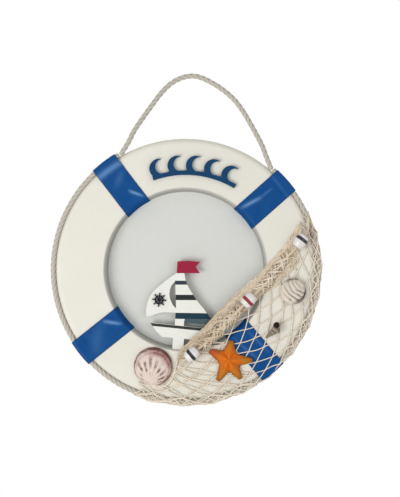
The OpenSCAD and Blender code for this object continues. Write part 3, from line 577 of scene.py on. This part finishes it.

# cotton twine: cream, soft and twisted, browner where it has aged, with painted shade in the ply's grooves
# and over the lower part of the bunch
cottonTwine, tree, where = newMaterial(
    "twistedCottonTwine", {"Roughness": 0.95, "Specular IOR Level": 0.15}, "lay")
slant = addNode(tree, "Mapping", {"Vector": where, "Rotation": (0, 0, math.radians(35))})
ply = addNode(tree, "TexWave", {"Vector": slant, "Scale": 0.5, "Distortion": 1.2, "Detail": 2}, "Fac",
              bands_direction="X")  # a turn of the ply every 0.6 mm
agedAndShaded = addNode(tree, "Attribute", {}, "Fac", attribute_name="agedAndShaded")
tone = addNode(tree, "Mix", {"Factor": agedAndShaded, "A": "#fff3e2", "B": "#d2bc99"}, data_type="RGBA")
# painted shade: the twine darkens along the grooves of its ply twist
dark = addNode(tree, "MapRange", {"Value": ply, "To Min": 0.88, "To Max": 1.0})
tone = addNode(tree, "Mix", {"Factor": 1.0, "A": tone, "B": dark}, data_type="RGBA", blend_type="MULTIPLY")
wire(tree, tone, ply, 0.5, 0.0003)

# the net: its upper edge over the window, then rows of meshes across the face and down round the rim, with a
# fold of it lying double in the lower part; near the floats its edge is drawn together in a bunch
net = {"twine": 0.52, "columns": 21, "openRows": 10, "rowStep": 6.1, "rimRows": 6, "from": 28.0, "to": -107.0,
       "face": 21.25, "overRope": 3.7, "side": 122.8, "sideFrom": 8.7, "sideTo": 5.2, "steps": 6, "sides": 6,
       "shake": 0.25, "slide": 0.9, "rimSlide": 0.3, "shortest": 1.2}
doubled = {"from": 0.6, "to": 0.985, "columns": 9, "shift": 0.5, "lift": 0.5}
sag = {"depth": 1.2, "within": 76, "over": 12}  # over the window
press = {"within": 16.5, "over": 7, "height": 22.3}  # under the floats
bunch = {"until": 0.79, "columns": 19, "rows": 44, "folds": 3.5, "height": 3.0, "shake": 0.07, "slide": 1.6,
         "sway": 0.4, "swayStep": 1.7, "dome": 0.8, "lowest": 0.15, "mostWide": 0.62, "overOpen": 0.4,
         "greyFrom": -18, "greyOver": 20, "grey": 0.33}
bunchWidth = [(0, 9), (0.05, 16), (0.12, 19), (0.2, 21), (0.28, 20), (0.35, 15), (0.45, 17), (0.52, 17),
              (0.6, 15), (0.67, 12), (0.74, 7), (0.8, 2), (1, 0)]
netEdge = [(104.5, 52), (98.5, 42), (88, 25.5), (77, 12), (69.5, 1), (58, -11.5), (46, -24.5), (36, -36),
           (27, -48), (17.3, -61.5), (6.7, -71.7), (0, -83), (-1, -96), (-6, -110.5), (-20, -115.3)]
edgeLine, edgeLength = smoothLine(netEdge, 400)
floatAt = np.array([bead["at"] for bead in floats.values()])


# from a share of the net's upper edge: the point there, the way to the rim, how far that is, the angle of
# the rim's point, and the bunch's width
def netRun(share):
    edge = readLine(share, np.linspace(0, 1, len(edgeLine)), edgeLine)
    angle = np.radians(net["from"] + share * (net["to"] - net["from"]))
    across = ring["frontEnd"] * columns(np.cos(angle), np.sin(angle)) - edge
    reach = np.linalg.norm(across, axis=1)
    wide = np.minimum(np.interp(share, *np.array(bunchWidth).T), bunch["mostWide"] * reach)
    return edge, across / reach[:, None], reach[:, None], angle, wide[:, None]


# points at given distances across from the edge and at given heights out from the wall
def acrossNet(edge, across, lateral, height):
    return np.concatenate([edge[:, None] + across[:, None] * lateral[..., None], height[..., None]], -1)


# the way along the net's edge
def alongEdge(edge):
    return unitRows(np.gradient(edge, axis=0))[:, None]


# how far points lie from the nearest float's middle
def fromFloats(points):
    return np.min(np.linalg.norm(points[..., None, :2] - floatAt, axis=-1), axis=-1)


# twine pressed under the floats lies low
def pressUnderFloats(points):
    pressed = held((press["within"] - fromFloats(points)) / press["over"])
    points[..., 2] += (np.minimum(points[..., 2], press["height"]) - points[..., 2]) * pressed


# the rim's section under the net, over the rope at a given distance from its middle
def rimSection(over):
    side = net["side"] + over
    return np.concatenate([
        [(ring["frontEnd"], net["face"])], arcPoints(ring["ropeAt"], over, *ring["ropeTurn"], 14),
        [(side, net["sideFrom"]), (side, net["sideTo"])]])


rimRun = lengthAlong(rimSection(net["overRope"]))


# the point at a given length along that section, at a given angle
def onRim(over, angle, along):
    section = rimSection(over)
    run = lengthAlong(section)
    rh = readLine(along * run[-1] / rimRun[-1], run, section)
    return columns(rh[..., 0] * np.cos(angle), rh[..., 0] * np.sin(angle), rh[..., 1])


# open part: rows of knots at even steps from the rim up to the bunch, then along the rim's section to the
# hem; over the window it sags; also tells which knots lie outside the bunch
def openLayer(share, shift):
    edge, across, reach, angle, wide = netRun(share)
    row = np.arange(net["openRows"] + net["rimRows"] + 1)
    fromRim = np.maximum(0, net["openRows"] - row + shift) * net["rowStep"]
    shake = rng.normal(0, net["shake"], (len(share), len(row))) * (fromRim > 0)
    lateral = np.clip(reach - fromRim + shake, bunch["overOpen"] * wide, reach)
    free = reach - fromRim + shake > bunch["overOpen"] * wide - 0.1
    flat = acrossNet(edge, across, lateral, np.full(lateral.shape, net["face"]))
    down = held((row - net["openRows"]) / net["rimRows"]) * rimRun[-1]
    turned = onRim(net["overRope"], angle[:, None], np.tile(down, (len(share), 1)))
    knots = np.where((down > 0)[:, None], turned, flat)
    slide = rng.normal(0, net["slide"], lateral.shape) * np.where(down > 0, net["rimSlide"], 1.0)
    knots[..., :2] += slide[..., None] * alongEdge(edge)
    fromAxis = np.linalg.norm(knots[..., :2], axis=-1)
    knots[..., 2] -= sag["depth"] * held((sag["within"] - fromAxis) / sag["over"])
    pressUnderFloats(knots)
    return knots, free


openKnots, openFree = openLayer(np.linspace(0, 1, net["columns"]), 0.0)
share = np.linspace(doubled["from"], doubled["to"], doubled["columns"])
foldKnots, foldFree = openLayer(share, doubled["shift"])
foldKnots[..., 2] += doubled["lift"]

# hem: small meshes drawn together along the rim, over the rope and down the side, but not over the band
netHem = {"runs": ((30, -34, 28), (-53, net["to"], 24)), "rows": 7, "start": 5, "overRope": 3.15,
          "spread": 0.008, "shake": 0.6}
hemKnots = []
for first, last, count in netHem["runs"]:
    hemAngle, hemAlong = np.meshgrid(
        np.radians(np.linspace(first, last, count)), np.linspace(netHem["start"], rimRun[-1], netHem["rows"]),
        indexing="ij")
    hemAngle = hemAngle + rng.normal(0, netHem["spread"], hemAngle.shape)
    hemAlong = hemAlong + rng.normal(0, netHem["shake"], hemAlong.shape)
    hemKnots.append(onRim(netHem["overRope"], hemAngle, hemAlong))

# bunch: many rows folded to and fro over the bunch's width, piled in a low heap, with uneven heights from
# row to row by the golden ratio
edge, across, _, _, wide = netRun(np.linspace(0, bunch["until"], bunch["columns"]))
row = np.arange(bunch["rows"] + 1)
drift = bunch["sway"] * np.sin(bunch["swayStep"] * np.arange(bunch["columns"]))[:, None]
phase = 2 * np.pi * bunch["folds"] * row / bunch["rows"] + drift
lateral = held(0.5 - 0.5 * np.cos(phase) + rng.normal(0, bunch["shake"], phase.shape)) * wide
golden = 0.618
uneven = bunch["lowest"] + (1 - bunch["lowest"]) * ((row * golden) % 1.0)
heap = np.sin(np.pi * lateral / wide) ** bunch["dome"] * uneven
bunchKnots = acrossNet(edge, across, lateral, net["face"] + bunch["height"] * heap)
bunchKnots[..., :2] += rng.normal(0, bunch["slide"], lateral.shape)[..., None] * alongEdge(edge)
pressUnderFloats(bunchKnots)

# inner folds: the layers inside the bunch as one crumpled roll; its section is a low dome over the bunch's
# width with pleats as a cosine, flat underneath and drawn to a point at both ends
roll = {"until": 0.46, "steps": 110, "sides": 48, "taper": 0.03, "height": 3.0, "sunk": 0.4, "middle": 0.44,
        "half": 0.42, "dome": 0.7, "top": 0.8, "pleat": 0.12, "pleats": 7, "sway": 2.5, "sways": 31,
        "crumple": 0.6, "crumples": 90, "agedAndShaded": 0.7}
share = np.linspace(0, roll["until"], roll["steps"])
edge, across, _, _, wide = netRun(share)
around = roundSteps(roll["sides"])
taper = np.minimum(1, np.minimum(share, share[-1] - share) / roll["taper"])[:, None]
lateral = wide * (roll["middle"] - roll["half"] * np.cos(around) * taper)
drift = roll["sway"] * np.sin(roll["sways"] * share)[:, None]
crumple = roll["crumple"] * np.sin(roll["crumples"] * share)[:, None]
pleat = np.cos(roll["pleats"] * around + drift) + crumple
dome = np.maximum(0, np.sin(around)) ** roll["dome"] * (roll["top"] + roll["pleat"] * pleat) * taper
foldRoll = acrossNet(edge, across, lateral, net["face"] - roll["sunk"] + roll["height"] * dome)
pressUnderFloats(foldRoll)
rollFaces, rollCorners = gridFaces(roll["steps"], roll["sides"], closeV=True)
rollUv = columns(
    rollCorners[..., 0] * edgeLength * roll["until"] / roll["steps"], rollCorners[..., 1] * 0.5)


# one strand in every half mesh, from a knot to a knot of the next row, leaning to either side in turn
def strandEnds(knots):
    i, j = np.meshgrid(np.arange(knots.shape[0] - 1), np.arange(knots.shape[1] - 1), indexing="ij")
    even = ((i + j) % 2 == 0)[..., None]
    first = np.where(even, knots[:-1, :-1], knots[1:, :-1])
    return np.stack([first, np.where(even, knots[1:, 1:], knots[:-1, 1:])], 2).reshape(-1, 2, 3)


# the head cord's route: across, up and what it lies on; its heights out from the wall
head = {"radius": 1.25, "pitch": 8.0, "sides": 24, "roundEnd": 0.6, "agedAndShaded": 0.65, "points": 520, "hold": 8.5,
        "bunch": 26.7, "float": floatHeight, "rim": 24.61, "net": 23.45}
headRoute = [
    (111, 61, "rim"), (112, 50, "rim"), (105.5, 37, "float"), (91.5, 16.5, "bunch"), (79, -3, "bunch"),
    (62, -23, "float"), (45, -44, "bunch"), (28, -65, "bunch"), (13.5, -79, "float"), (2, -91, "net")]
headPoints = []
for k, (x, y, on) in enumerate(headRoute):
    if on == "float":
        d = np.subtract(headRoute[k + 1][:2], headRoute[k - 1][:2])
        d = d / np.linalg.norm(d) * head["hold"]
        headPoints += [(x + u * d[0], y + u * d[1], head[on]) for u in (-1, -0.35, 0.35, 1)]
    else:
        headPoints.append((x, y, head[on]))
headPath, headLength = smoothLine(headPoints, head["points"])

# lashings: strands of the edge meshes that pass over the head cord between the floats, from side to side
lash = {"count": 80, "fromFloat": 11, "left": 20, "right": 98, "aside": (4, 6.5), "along": (3, 10),
        "clear": 9.5, "foot": 23.6, "over": 0.6}
between = (headPath[:, 0] < lash["right"]) & (headPath[:, 0] > lash["left"])
pick = rng.choice(np.flatnonzero(between & (fromFloats(headPath) > lash["fromFloat"])), lash["count"])
ahead = unitRows(np.gradient(headPath[:, :2], axis=0))[pick]
aside = columns(-ahead[:, 1], ahead[:, 0]) * rng.uniform(*lash["aside"], (lash["count"], 1))
along = rng.uniform(*lash["along"], lash["count"]) * rng.choice([-1, 1], lash["count"])
leap = aside + ahead * along[:, None]
lashEnds = np.stack([headPath[pick, :2] - leap, headPath[pick, :2] + leap], 1)
lashEnds = lashEnds[fromFloats(lashEnds).min(1) > lash["clear"]]
lashEnds = np.concatenate([lashEnds, np.full((len(lashEnds), 2, 1), lash["foot"])], -1)

# strands: round twine carried from knot to knot, bowed to one side by half a sine wave, lashings also bowed
# up over the cord; closed at both ends; each kind has its bow, and the least and most that it has aged
strandKinds = {
    "open": (0.4, 0, 0.3), "hem": (0.3, 0, 0.45), "bunch": (0.9, 0.1, 0.7), "lashing": (0.9, 0, 0.5)}
groups = [strandEnds(knots) for knots in (openKnots, foldKnots, *hemKnots, bunchKnots)] + [lashEnds]
kind = np.repeat([0, 0, 1, 1, 2, 3], [len(group) for group in groups])  # places in strandKinds
ends = np.concatenate(groups)
kept = np.linalg.norm(ends[:, 1] - ends[:, 0], axis=1) > net["shortest"]
ends, kind = ends[kept], kind[kept]
bowBy, leastAged, mostAged = np.array(list(strandKinds.values()))[kind].T
chord = ends[:, 1] - ends[:, 0]
t = np.concatenate([[0], np.linspace(0, 1, net["steps"] + 1), [1]])
sideways = unitRows(np.cross([0.0, 0.0, 1.0], chord) + 1e-6)
bow = (rng.normal(0, 1, len(ends)) * bowBy)[:, None] * sideways
bow[:, 2] += np.where(kind == 3, head["bunch"] + head["radius"] + lash["over"] - lash["foot"], 0)
strand = ends[:, :1] + chord[:, None] * t[:, None] + bow[:, None] * np.sin(np.pi * t)[:, None]
tangent = unitRows(chord[:, None] + bow[:, None] * (np.pi * np.cos(np.pi * t))[:, None])
aslant = np.array([0.31, 0.22, 0.92])  # along no strand
side = unitRows(np.cross(aslant, tangent))
up = np.cross(tangent, side)
phi = roundSteps(net["sides"])
thick = net["twine"] * np.concatenate([[0], np.ones(net["steps"] + 1), [0]])[:, None, None]
tube = strand[:, :, None] + thick * (
    np.cos(phi)[:, None] * side[:, :, None] + np.sin(phi)[:, None] * up[:, :, None])
quads, corners = gridFaces(len(t), net["sides"], closeV=True)
offset = np.arange(len(ends)) * len(t) * net["sides"]
tubeFaces = (quads[None, :, ::-1] + offset[:, None, None]).reshape(-1, 4)
runs = np.linalg.norm(chord, axis=1)[:, None, None] * t[corners[..., 0]]
girth = 3.3  # round the twine, in millimetres
tubeUv = columns(corners[..., 1] * girth / net["sides"], runs)[:, :, ::-1]
agedAndShaded = rng.uniform(leastAged, mostAged)
# painted shade: bunch and lashing strands darken towards the lower part of the net
agedAndShaded = agedAndShaded + bunch["grey"] * (kind >= 2) * held((bunch["greyFrom"] - ends[:, 0, 1]) / bunch["greyOver"])

# knots: small lumps, a ball whose radius waves with both angles like a pulled hitch
hitch = {"radius": 0.85, "wave": 0.22, "long": 1.3, "rows": 6, "sides": 8, "agedAndShaded": 0.1}
knotAt = []
for knots, free in ((openKnots, openFree), (foldKnots, foldFree)):
    isKnot = np.add.outer(np.arange(knots.shape[0]), np.arange(knots.shape[1])) % 2 == 0
    knotAt.append(knots[isKnot & free])
knotAt = np.concatenate(knotAt)
a, b = np.meshgrid(np.linspace(0, np.pi, hitch["rows"]), roundSteps(hitch["sides"]), indexing="ij")
lump = hitch["radius"] * (1 + hitch["wave"] * np.cos(3 * b + 2 * a) * np.sin(a))
x, y, z = hitch["long"] * lump * np.sin(a) * np.cos(b), lump * np.sin(a) * np.sin(b), lump * np.cos(a)
spin = rng.uniform(0, np.pi, len(knotAt))[:, None, None]
balls = knotAt[:, None, None] + columns(
    x * np.cos(spin) - y * np.sin(spin), x * np.sin(spin) + y * np.cos(spin), z)
quads, corners = gridFaces(*z.shape, closeV=True)
ballFaces = (quads + (np.arange(len(knotAt)) * z.size)[:, None, None]).reshape(-1, 4) + tube.size // 3
ballUv = np.broadcast_to(corners * np.array([0.6, 0.4]), (len(knotAt), *corners.shape))
rollFaces = rollFaces + (tube.size + balls.size) // 3
agedAndShaded = np.concatenate([
    np.repeat(agedAndShaded, len(t) * net["sides"]), np.full(balls.size // 3, hitch["agedAndShaded"]),
    np.full(foldRoll.size // 3, roll["agedAndShaded"])])
fishingNet = putMesh(
    "fishingNet", np.concatenate([points.reshape(-1, 3) for points in (tube, balls, foldRoll)]),
    np.concatenate([tubeFaces, ballFaces, rollFaces]), cottonTwine,
    np.concatenate([uv.reshape(-1, 2) for uv in (tubeUv, ballUv, rollUv)]), {"agedAndShaded": agedAndShaded})
place(fishingNet, "frame", "net_twine", "net_front", "net_rim", "net_gather")
print("net made:", len(ends), "strands,", len(knotAt), "knots")

# the head cord: three-ply cotton over the bunch, straight through each float
headCord = laidRope("headCord", headPath, head, cottonTwine)
place(headCord, "frame", "head_cord", "head_rope")
print("head cord made, %.0f mm" % headLength)


# points turned about their own upright axis and set in their place, at a height out from the wall
def settle(points, piece, height):
    c, s = math.cos(math.radians(piece["turn"])), math.sin(math.radians(piece["turn"]))
    return points @ np.array([[c, s, 0], [-s, c, 0], [0, 0, 1]]) + [*piece["at"], height]


# a closed crown: rows of skin from its middle to its edge, a wall down to the base and a flat underside; its
# values go with its points
def crownMesh(name, skin, piece, material, values):
    foot = skin[-1:] * [1, 1, 0]
    rows = np.concatenate([skin, foot, np.broadcast_to(skin[:1] * [1, 1, 0], foot.shape)])
    quads = gridFaces(*rows.shape[:2], closeV=True)[0]
    data = {key: np.concatenate([v, v[-1:], v[-1:]]) for key, v in values.items()}
    return putMesh(name, settle(rows, piece, piece["base"]), quads, material, None, data)


# dried starfish: dyed orange, ochre along the arms, brown at their edges, one tip redder, with pale grains
starSkin, tree, _, cloud, tone = clouded(
    "driedStarfish", {"Roughness": 0.75, "Specular IOR Level": 0.2}, {"Scale": 160, "Detail": 4},
    ("#c65c0c", "#df7516"))
ochre = addNode(tree, "Mix", {"Factor": cloud, "A": "#a35d16", "B": "#c2822c"}, data_type="RGBA")
tone = addMarks(tree, tone, {"arm": ochre, "grain": "#e8953a", "redTip": "#c2562c", "brownEdge": "#8a4c10"})
wire(tree, tone, cloud, 0.4, 0.0004)

# starfish: straight edges run from the waist, half way between two arms, to a point a little past the blunt
# tip; its back falls from the round middle to the edge, higher along the arms, with grains as a product of
# two sine waves; an arm is its angle and its share of the length; ochre and red start at a distance from the
# middle and are full after another
star = {"at": (48.93, -81.43), "turn": 0, "base": 22.15, "height": 6.0, "edge": 0.8, "waist": 10.0,
        "arm": 22.5, "point": 1.3, "half": 36, "slope": 0.35, "dip": 0.4, "dipSoon": 1.8, "grain": 0.25,
        "grainX": (3.3, 1.1, 1.9), "grainY": (3.1, 1.3, 2.1), "ochre": (8, 8), "red": (9, 5), "redArm": 2}
starArms = np.array([(4, 1), (88, 0.82), (160, 0.9), (248, 1), (308, 0.95)])
a, t = np.meshgrid(np.radians(np.arange(0, 360, 0.5)), np.linspace(0, 1, 56))
gap = np.abs((np.degrees(a)[..., None] - starArms[:, 0] + 180) % 360 - 180)
arm = star["arm"] * starArms[:, 1]
slant, half = np.radians(np.minimum(gap, star["half"])), math.radians(star["half"])
corner = math.sin(half) * star["point"] * arm * star["waist"]
straight = corner / (star["point"] * arm * np.sin(slant) + star["waist"] * np.sin(half - slant))
reach = t * np.minimum(arm, straight).max(-1)
ridge = np.maximum(0, 1 - gap / star["half"]).max(-1)
x, y = reach * np.cos(a), reach * np.sin(a)
grain = waved(x, y, *star["grainX"]) * waved(y, x, *star["grainY"])
grain = np.maximum(0, grain) * np.minimum(1, 4 * (1 - t))
swell = 1 - star["dip"] * (1 - np.sin(np.pi / 2 * ridge)) * np.minimum(1, star["dipSoon"] * t)
back = (star["height"] - star["edge"]) * (1 - t ** 2) * (1 - star["slope"] * t) * swell
skin = columns(x, y, star["edge"] + back + star["grain"] * grain)
marks = {"arm": risen(reach, *star["ochre"]), "grain": 0.5 * grain, "brownEdge": 0.7 * held(4 * t - 3),
         "redTip": risen(reach, *star["red"]) * (gap[..., star["redArm"]] < star["half"])}
starfish = crownMesh("orangeStarfish", skin, star, starSkin, marks)
place(starfish, "frame", "starfish", "starfish")


# a shell's outline seen from its beak, which lies k radii below the middle of a circle
def beakEdge(piece, a):
    k = piece["beak"]
    return piece["radius"] * (k * np.sin(a) + np.sqrt(1 - (k * np.cos(a)) ** 2))


# a shell's points at given distances from its beak, and its body there without the relief: a dome over that
# circle, as a power of the distance from its edge
def shellBody(piece, a, reach, relief):
    x, y = reach * np.cos(a), reach * np.sin(a) - piece["beak"] * piece["radius"]
    dome = np.maximum(0, 1 - (x ** 2 + y ** 2) / piece["radius"] ** 2) ** 0.6
    return x, y, (piece["height"] - piece["edge"] - relief) * dome


# a shell's skin: its ground, then its marks, worn off where the cloud is pale; worn is where that starts and
# ends, and what is left there
def shellSkin(name, look, marks):
    skin, tree, _, cloud, tone = clouded(
        name, {"Roughness": look["rough"], "Specular IOR Level": look["gloss"]},
        {"Scale": look["grain"], "Detail": look["detail"], "Roughness": 0.65}, look["tones"])
    worn = None
    if "worn" in look:
        start, end, left = look["worn"]
        worn = addNode(tree, "MapRange", {
            "Value": cloud, "From Min": start, "From Max": end, "To Min": 1.0, "To Max": left})
    wire(tree, addMarks(tree, tone, marks, worn), cloud, 0.3, look["bump"])
    return skin


# scallop shell: pinkish white, broken brown streaks between the ribs, and painted shade in dark red along the
# top and right edge
scallopSkin = shellSkin("scallopShell", {
    "rough": 0.5, "gloss": 0.25, "grain": 140, "detail": 5, "tones": ("#d0b9ac", "#f1e4db"),
    "worn": (0.35, 0.6, 0.35), "bump": 0.0003},
    {"blush": "#a0645f", "streak": "#7f625a", "shadeMargin": "#694440"})

# scallop: a dome over a circle with ribs that spread from the beak as a cosine of the angle and fade at the
# edge, and low growth steps; blush and the painted shade margin start at a share of the way to the edge and
# are full after another, as on the clam
shell = {"at": (-21.8, -94.5), "turn": -4, "base": 20.05, "radius": 18.5, "beak": 0.86, "height": 9.0,
         "edge": 0.8, "rib": 0.4, "ribs": 11, "wavy": 0.004, "step": 0.07, "steps": 9, "grooves": 64,
         "topAt": 75, "rightAt": 42, "lineAt": 0.85, "lineWide": 0.025, "blush": (0.7, 0.14),
         "shadeMargin": (0.91, 0.04)}
a, t = np.meshgrid(np.radians(np.arange(0, 360, 0.75)), np.linspace(0, 1, 72))
rib = np.where(np.sin(a) > 0, np.cos((a - np.pi / 2) * 2 * shell["ribs"]), 0)
reach = t * beakEdge(shell, a) * (1 + shell["wavy"] * rib - 2 * shell["wavy"])
x, y, body = shellBody(shell, a, reach, shell["rib"])
step = shell["step"] * np.cos(2 * np.pi * shell["steps"] * t) * t * (1 - t) * 4
body = body + shell["rib"] * rib * np.minimum(1, 3 * t) * (1.3 - t)
skin = columns(x, y, shell["edge"] + np.maximum(0, body + step))

# streaks: in every groove two runs, each with its own start, length and strength between a least and a most
streakRuns = [((0.2, 0.2, 0.6), (0.5, 0.45, 1.0)), ((0.1, 0.08, 0.3), (0.75, 0.25, 0.9))]
groove = np.round((a - np.pi / 2) * shell["ribs"] / np.pi - 0.5).astype(int) % shell["grooves"]
streak = np.zeros_like(t)
for least, most in streakRuns:
    first, length, strength = rng.uniform(least, most, (shell["grooves"], 3))[groove].transpose(2, 0, 1)
    part = held(10 * (t - first)) * held(10 * (first + length - t))
    streak = np.maximum(streak, held(0.4 - 1.8 * rib) * strength * part)
top = held(0.5 + 0.6 * np.cos(a - math.radians(shell["topAt"])))
right = held(1.3 * np.cos(a - math.radians(shell["rightAt"])) - 0.2)
growth = np.exp(-((t - shell["lineAt"]) / shell["lineWide"]) ** 2)
# the margin is painted shade along the top and right edge; streaks and blush are the shell's own colour
marks = {"streak": 1.5 * streak,
         "blush": risen(t, *shell["blush"]) * held(0.35 * top + 0.9 * right),
         "shadeMargin": 1.5 * np.maximum(risen(t, *shell["shadeMargin"]) * top, 0.55 * growth * top ** 4)}
scallopShell = crownMesh("scallopShell", skin, shell, scallopSkin, marks)
place(scallopShell, "frame", "scallop", "scallop_shell")

# clam shell: chalky white with brown lines along its growth ridges, and painted shade in brown along its
# right edge and near the beak
clamSkin = shellSkin("clamShell", {
    "rough": 0.6, "gloss": 0.25, "grain": 220, "detail": 5, "tones": ("#cbbfae", "#f0e8db"),
    "worn": (0.3, 0.6, 0.45), "bump": 0.0003}, {"line": "#4c4036", "shadeMargin": "#463a30"})

# clam: the same dome with ridges as a cosine of the distance from a point beyond the beak, so that they run
# out at both sides
clam = {"at": (103.4, -10.9), "turn": 140, "base": 22.15, "radius": 12.25, "beak": 0.84, "height": 8.0,
        "edge": 0.8, "ridge": 0.4, "ridges": 6, "beyond": 1.45, "narrow": 0.08, "uneven": 0.012,
        "darkAt": (155, 10), "shadeMargin": (0.74, 0.06)}
a, t = np.meshgrid(np.radians(np.arange(0, 360, 1)), np.linspace(0, 1, 90))
reach = t * beakEdge(clam, a) * (1 - clam["narrow"] * np.maximum(0, -np.sin(a)) ** 2)
x, y, body = shellBody(clam, a, reach, clam["ridge"])
grown = np.hypot(x, y + clam["beyond"] * clam["radius"]) / clam["radius"] - clam["beyond"] + 1
grown = grown / 2 + clam["uneven"] * np.sin(5 * a + 7 * t)
wave = np.cos(2 * np.pi * clam["ridges"] * grown) * np.minimum(1, 5 - 5 * t)
body = body - clam["ridge"] * (wave - 1 + t) * np.minimum(1, 4 * t)
skin = columns(x, y, clam["edge"] + np.maximum(0, body))
# painted shade: the margin darkens the clam's edge on the right and near the beak
leftAt, rightAt = np.radians(clam["darkAt"])
dark = held(4 * np.cos(a - leftAt) - 2.9)
dark = dark + np.clip(5 * np.cos(a - rightAt) - 4.3, 0, 0.6)
line = held(wave * 1.6 - 0.4) * held(5 * grown - 0.7)
marks = {"line": line * held(0.9 - 0.5 * np.cos(a)),
         "shadeMargin": 1.8 * risen(t, *clam["shadeMargin"]) * dark}
clamShell = crownMesh("clamShell", skin, clam, clamSkin, marks)
place(clamShell, "frame", "clam", "clam_shell")

# snail shell: grey-brown, banded along its whorls, with painted shade in near black inside its mouth
snailSkin = shellSkin("snailShell", {
    "rough": 0.4, "gloss": 0.3, "grain": 420, "detail": 4, "tones": ("#63574a", "#b8ac98"),
    "bump": 0.0002}, {"stripe": "#4f4238", "mouth": "#1d1714"})

# snail: a tube that grows by the same share in every turn, wound round an axis along the shell from its tip;
# at the mouth the tube turns in over a lip and closes far inside; the lip is turned on by an angle, with a
# share of the tube and how dark its painted shade is
snail = {"at": (87.9, -50.75), "turn": 45, "axis": 27.15, "turns": 6, "steps": 260, "sides": 28, "grow": 1.3,
         "reach": 19.0, "centre": 2.5, "tube": 2.5, "behind": 12.4, "oval": 1.05, "flare": 0.25,
         "flareOver": 1.5, "ripple": 0.025, "ripples": 22, "stripeAt": 0.9, "stripe": 0.6}
lip = np.array([
    (0.04, 1.05, 0), (0.08, 1.0, 0.1), (0.05, 0.88, 0.7), (-0.3, 0.8, 1), (-0.8, 0.5, 1), (-0.9, 0, 1)])
theta = np.concatenate([np.linspace(-2 * np.pi * snail["turns"], 0, snail["steps"]), lip[:, 0]])[:, None]
scale = np.concatenate([[0], np.ones(snail["steps"] - 1), lip[:, 1]])[:, None] * snail["tube"]
scale = scale * (1 + snail["flare"] * held(1 + theta / snail["flareOver"]) ** 2)
scale = scale * (1 + snail["ripple"] * np.sin(snail["ripples"] * theta))
phi = roundSteps(snail["sides"])
grown = snail["grow"] ** (theta / (2 * np.pi))
x = grown * (snail["reach"] + snail["oval"] * scale * np.sin(phi)) - snail["behind"]
out = grown * (snail["centre"] + scale * np.cos(phi))
points = settle(columns(x, out * np.cos(theta), out * np.sin(theta)), snail, snail["axis"])
quads = gridFaces(len(theta), len(phi), closeV=True)[0]
stripe = held(2 * np.cos(phi - snail["stripeAt"]) - 1.1) * np.ones_like(theta)
# painted shade: the lip turns near black where it turns in at the mouth
mouth = np.concatenate([np.zeros(snail["steps"]), lip[:, 2]])[:, None] * np.ones_like(phi)
marks = {"stripe": snail["stripe"] * stripe, "mouth": mouth}
snailShell = putMesh("snailShell", points, quads, snailSkin, None, marks)
place(snailShell, "frame", "snail", "snail_shell")
print("starfish and shells made")

# felt: dark grey pressed wool with short fibres
felt, tree, _, fibre, tone = clouded(
    "pressedWoolFelt", {"Roughness": 1.0, "Specular IOR Level": 0.1, "Sheen Weight": 0.3},
    {"Scale": 1400, "Detail": 5, "Roughness": 0.75, "Distortion": 1.5}, ("#26282b", "#565a60"))
wire(tree, tone, fibre, 0.7, 0.0005)

# the felt ring on the back: a flat section with rounded edges carried round the axis, pressed thin over the
# ends of the bands
pad = {"inner": 99.0, "outer": 121.0, "thick": 1.95, "edge": 0.6, "steps": 288, "overBand": 1.0,
       "bandEnd": 109.0, "bandHalf": 14.2, "cornerSteps": 5, "flatSteps": 24}
inner, outer, low, high = (
    pad["inner"] + pad["edge"], pad["outer"] - pad["edge"], pad["edge"], pad["thick"] - pad["edge"])
quarters = [
    ((outer, high), 90, 0), ((outer, low), 0, -90), ((inner, low), -90, -180), ((inner, high), 180, 90)]
corner = [arcPoints(middle, pad["edge"], first, last, pad["cornerSteps"]) for middle, first, last in quarters]
flat = np.linspace(corner[3][-1], corner[0][0], pad["flatSteps"])
under = np.linspace(corner[1][-1], corner[2][0], pad["flatSteps"])
section = np.concatenate([flat[:-1], corner[0], corner[1], under[1:-1], corner[2], corner[3][:-1]])
around = roundSteps(pad["steps"])[:, None]
r = np.broadcast_to(section[:, 0], (pad["steps"], len(section)))
h = np.broadcast_to(section[:, 1], r.shape)
for band in bands.values():
    turn = around - math.radians(band["angle"])
    over = (np.abs(r * np.sin(turn)) < pad["bandHalf"]) & (np.cos(turn) > 0) & (r > pad["bandEnd"])
    h = np.where(over, np.minimum(h, pad["overBand"]), h)
quads = gridFaces(pad["steps"], len(section), True, True)[0]
points = columns(r * np.cos(around), r * np.sin(around), h)
feltBack = putMesh("feltBack", points, quads[:, ::-1], felt)
place(feltBack, "frame", "felt", "felt_ring")
print("felt made")

low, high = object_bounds()
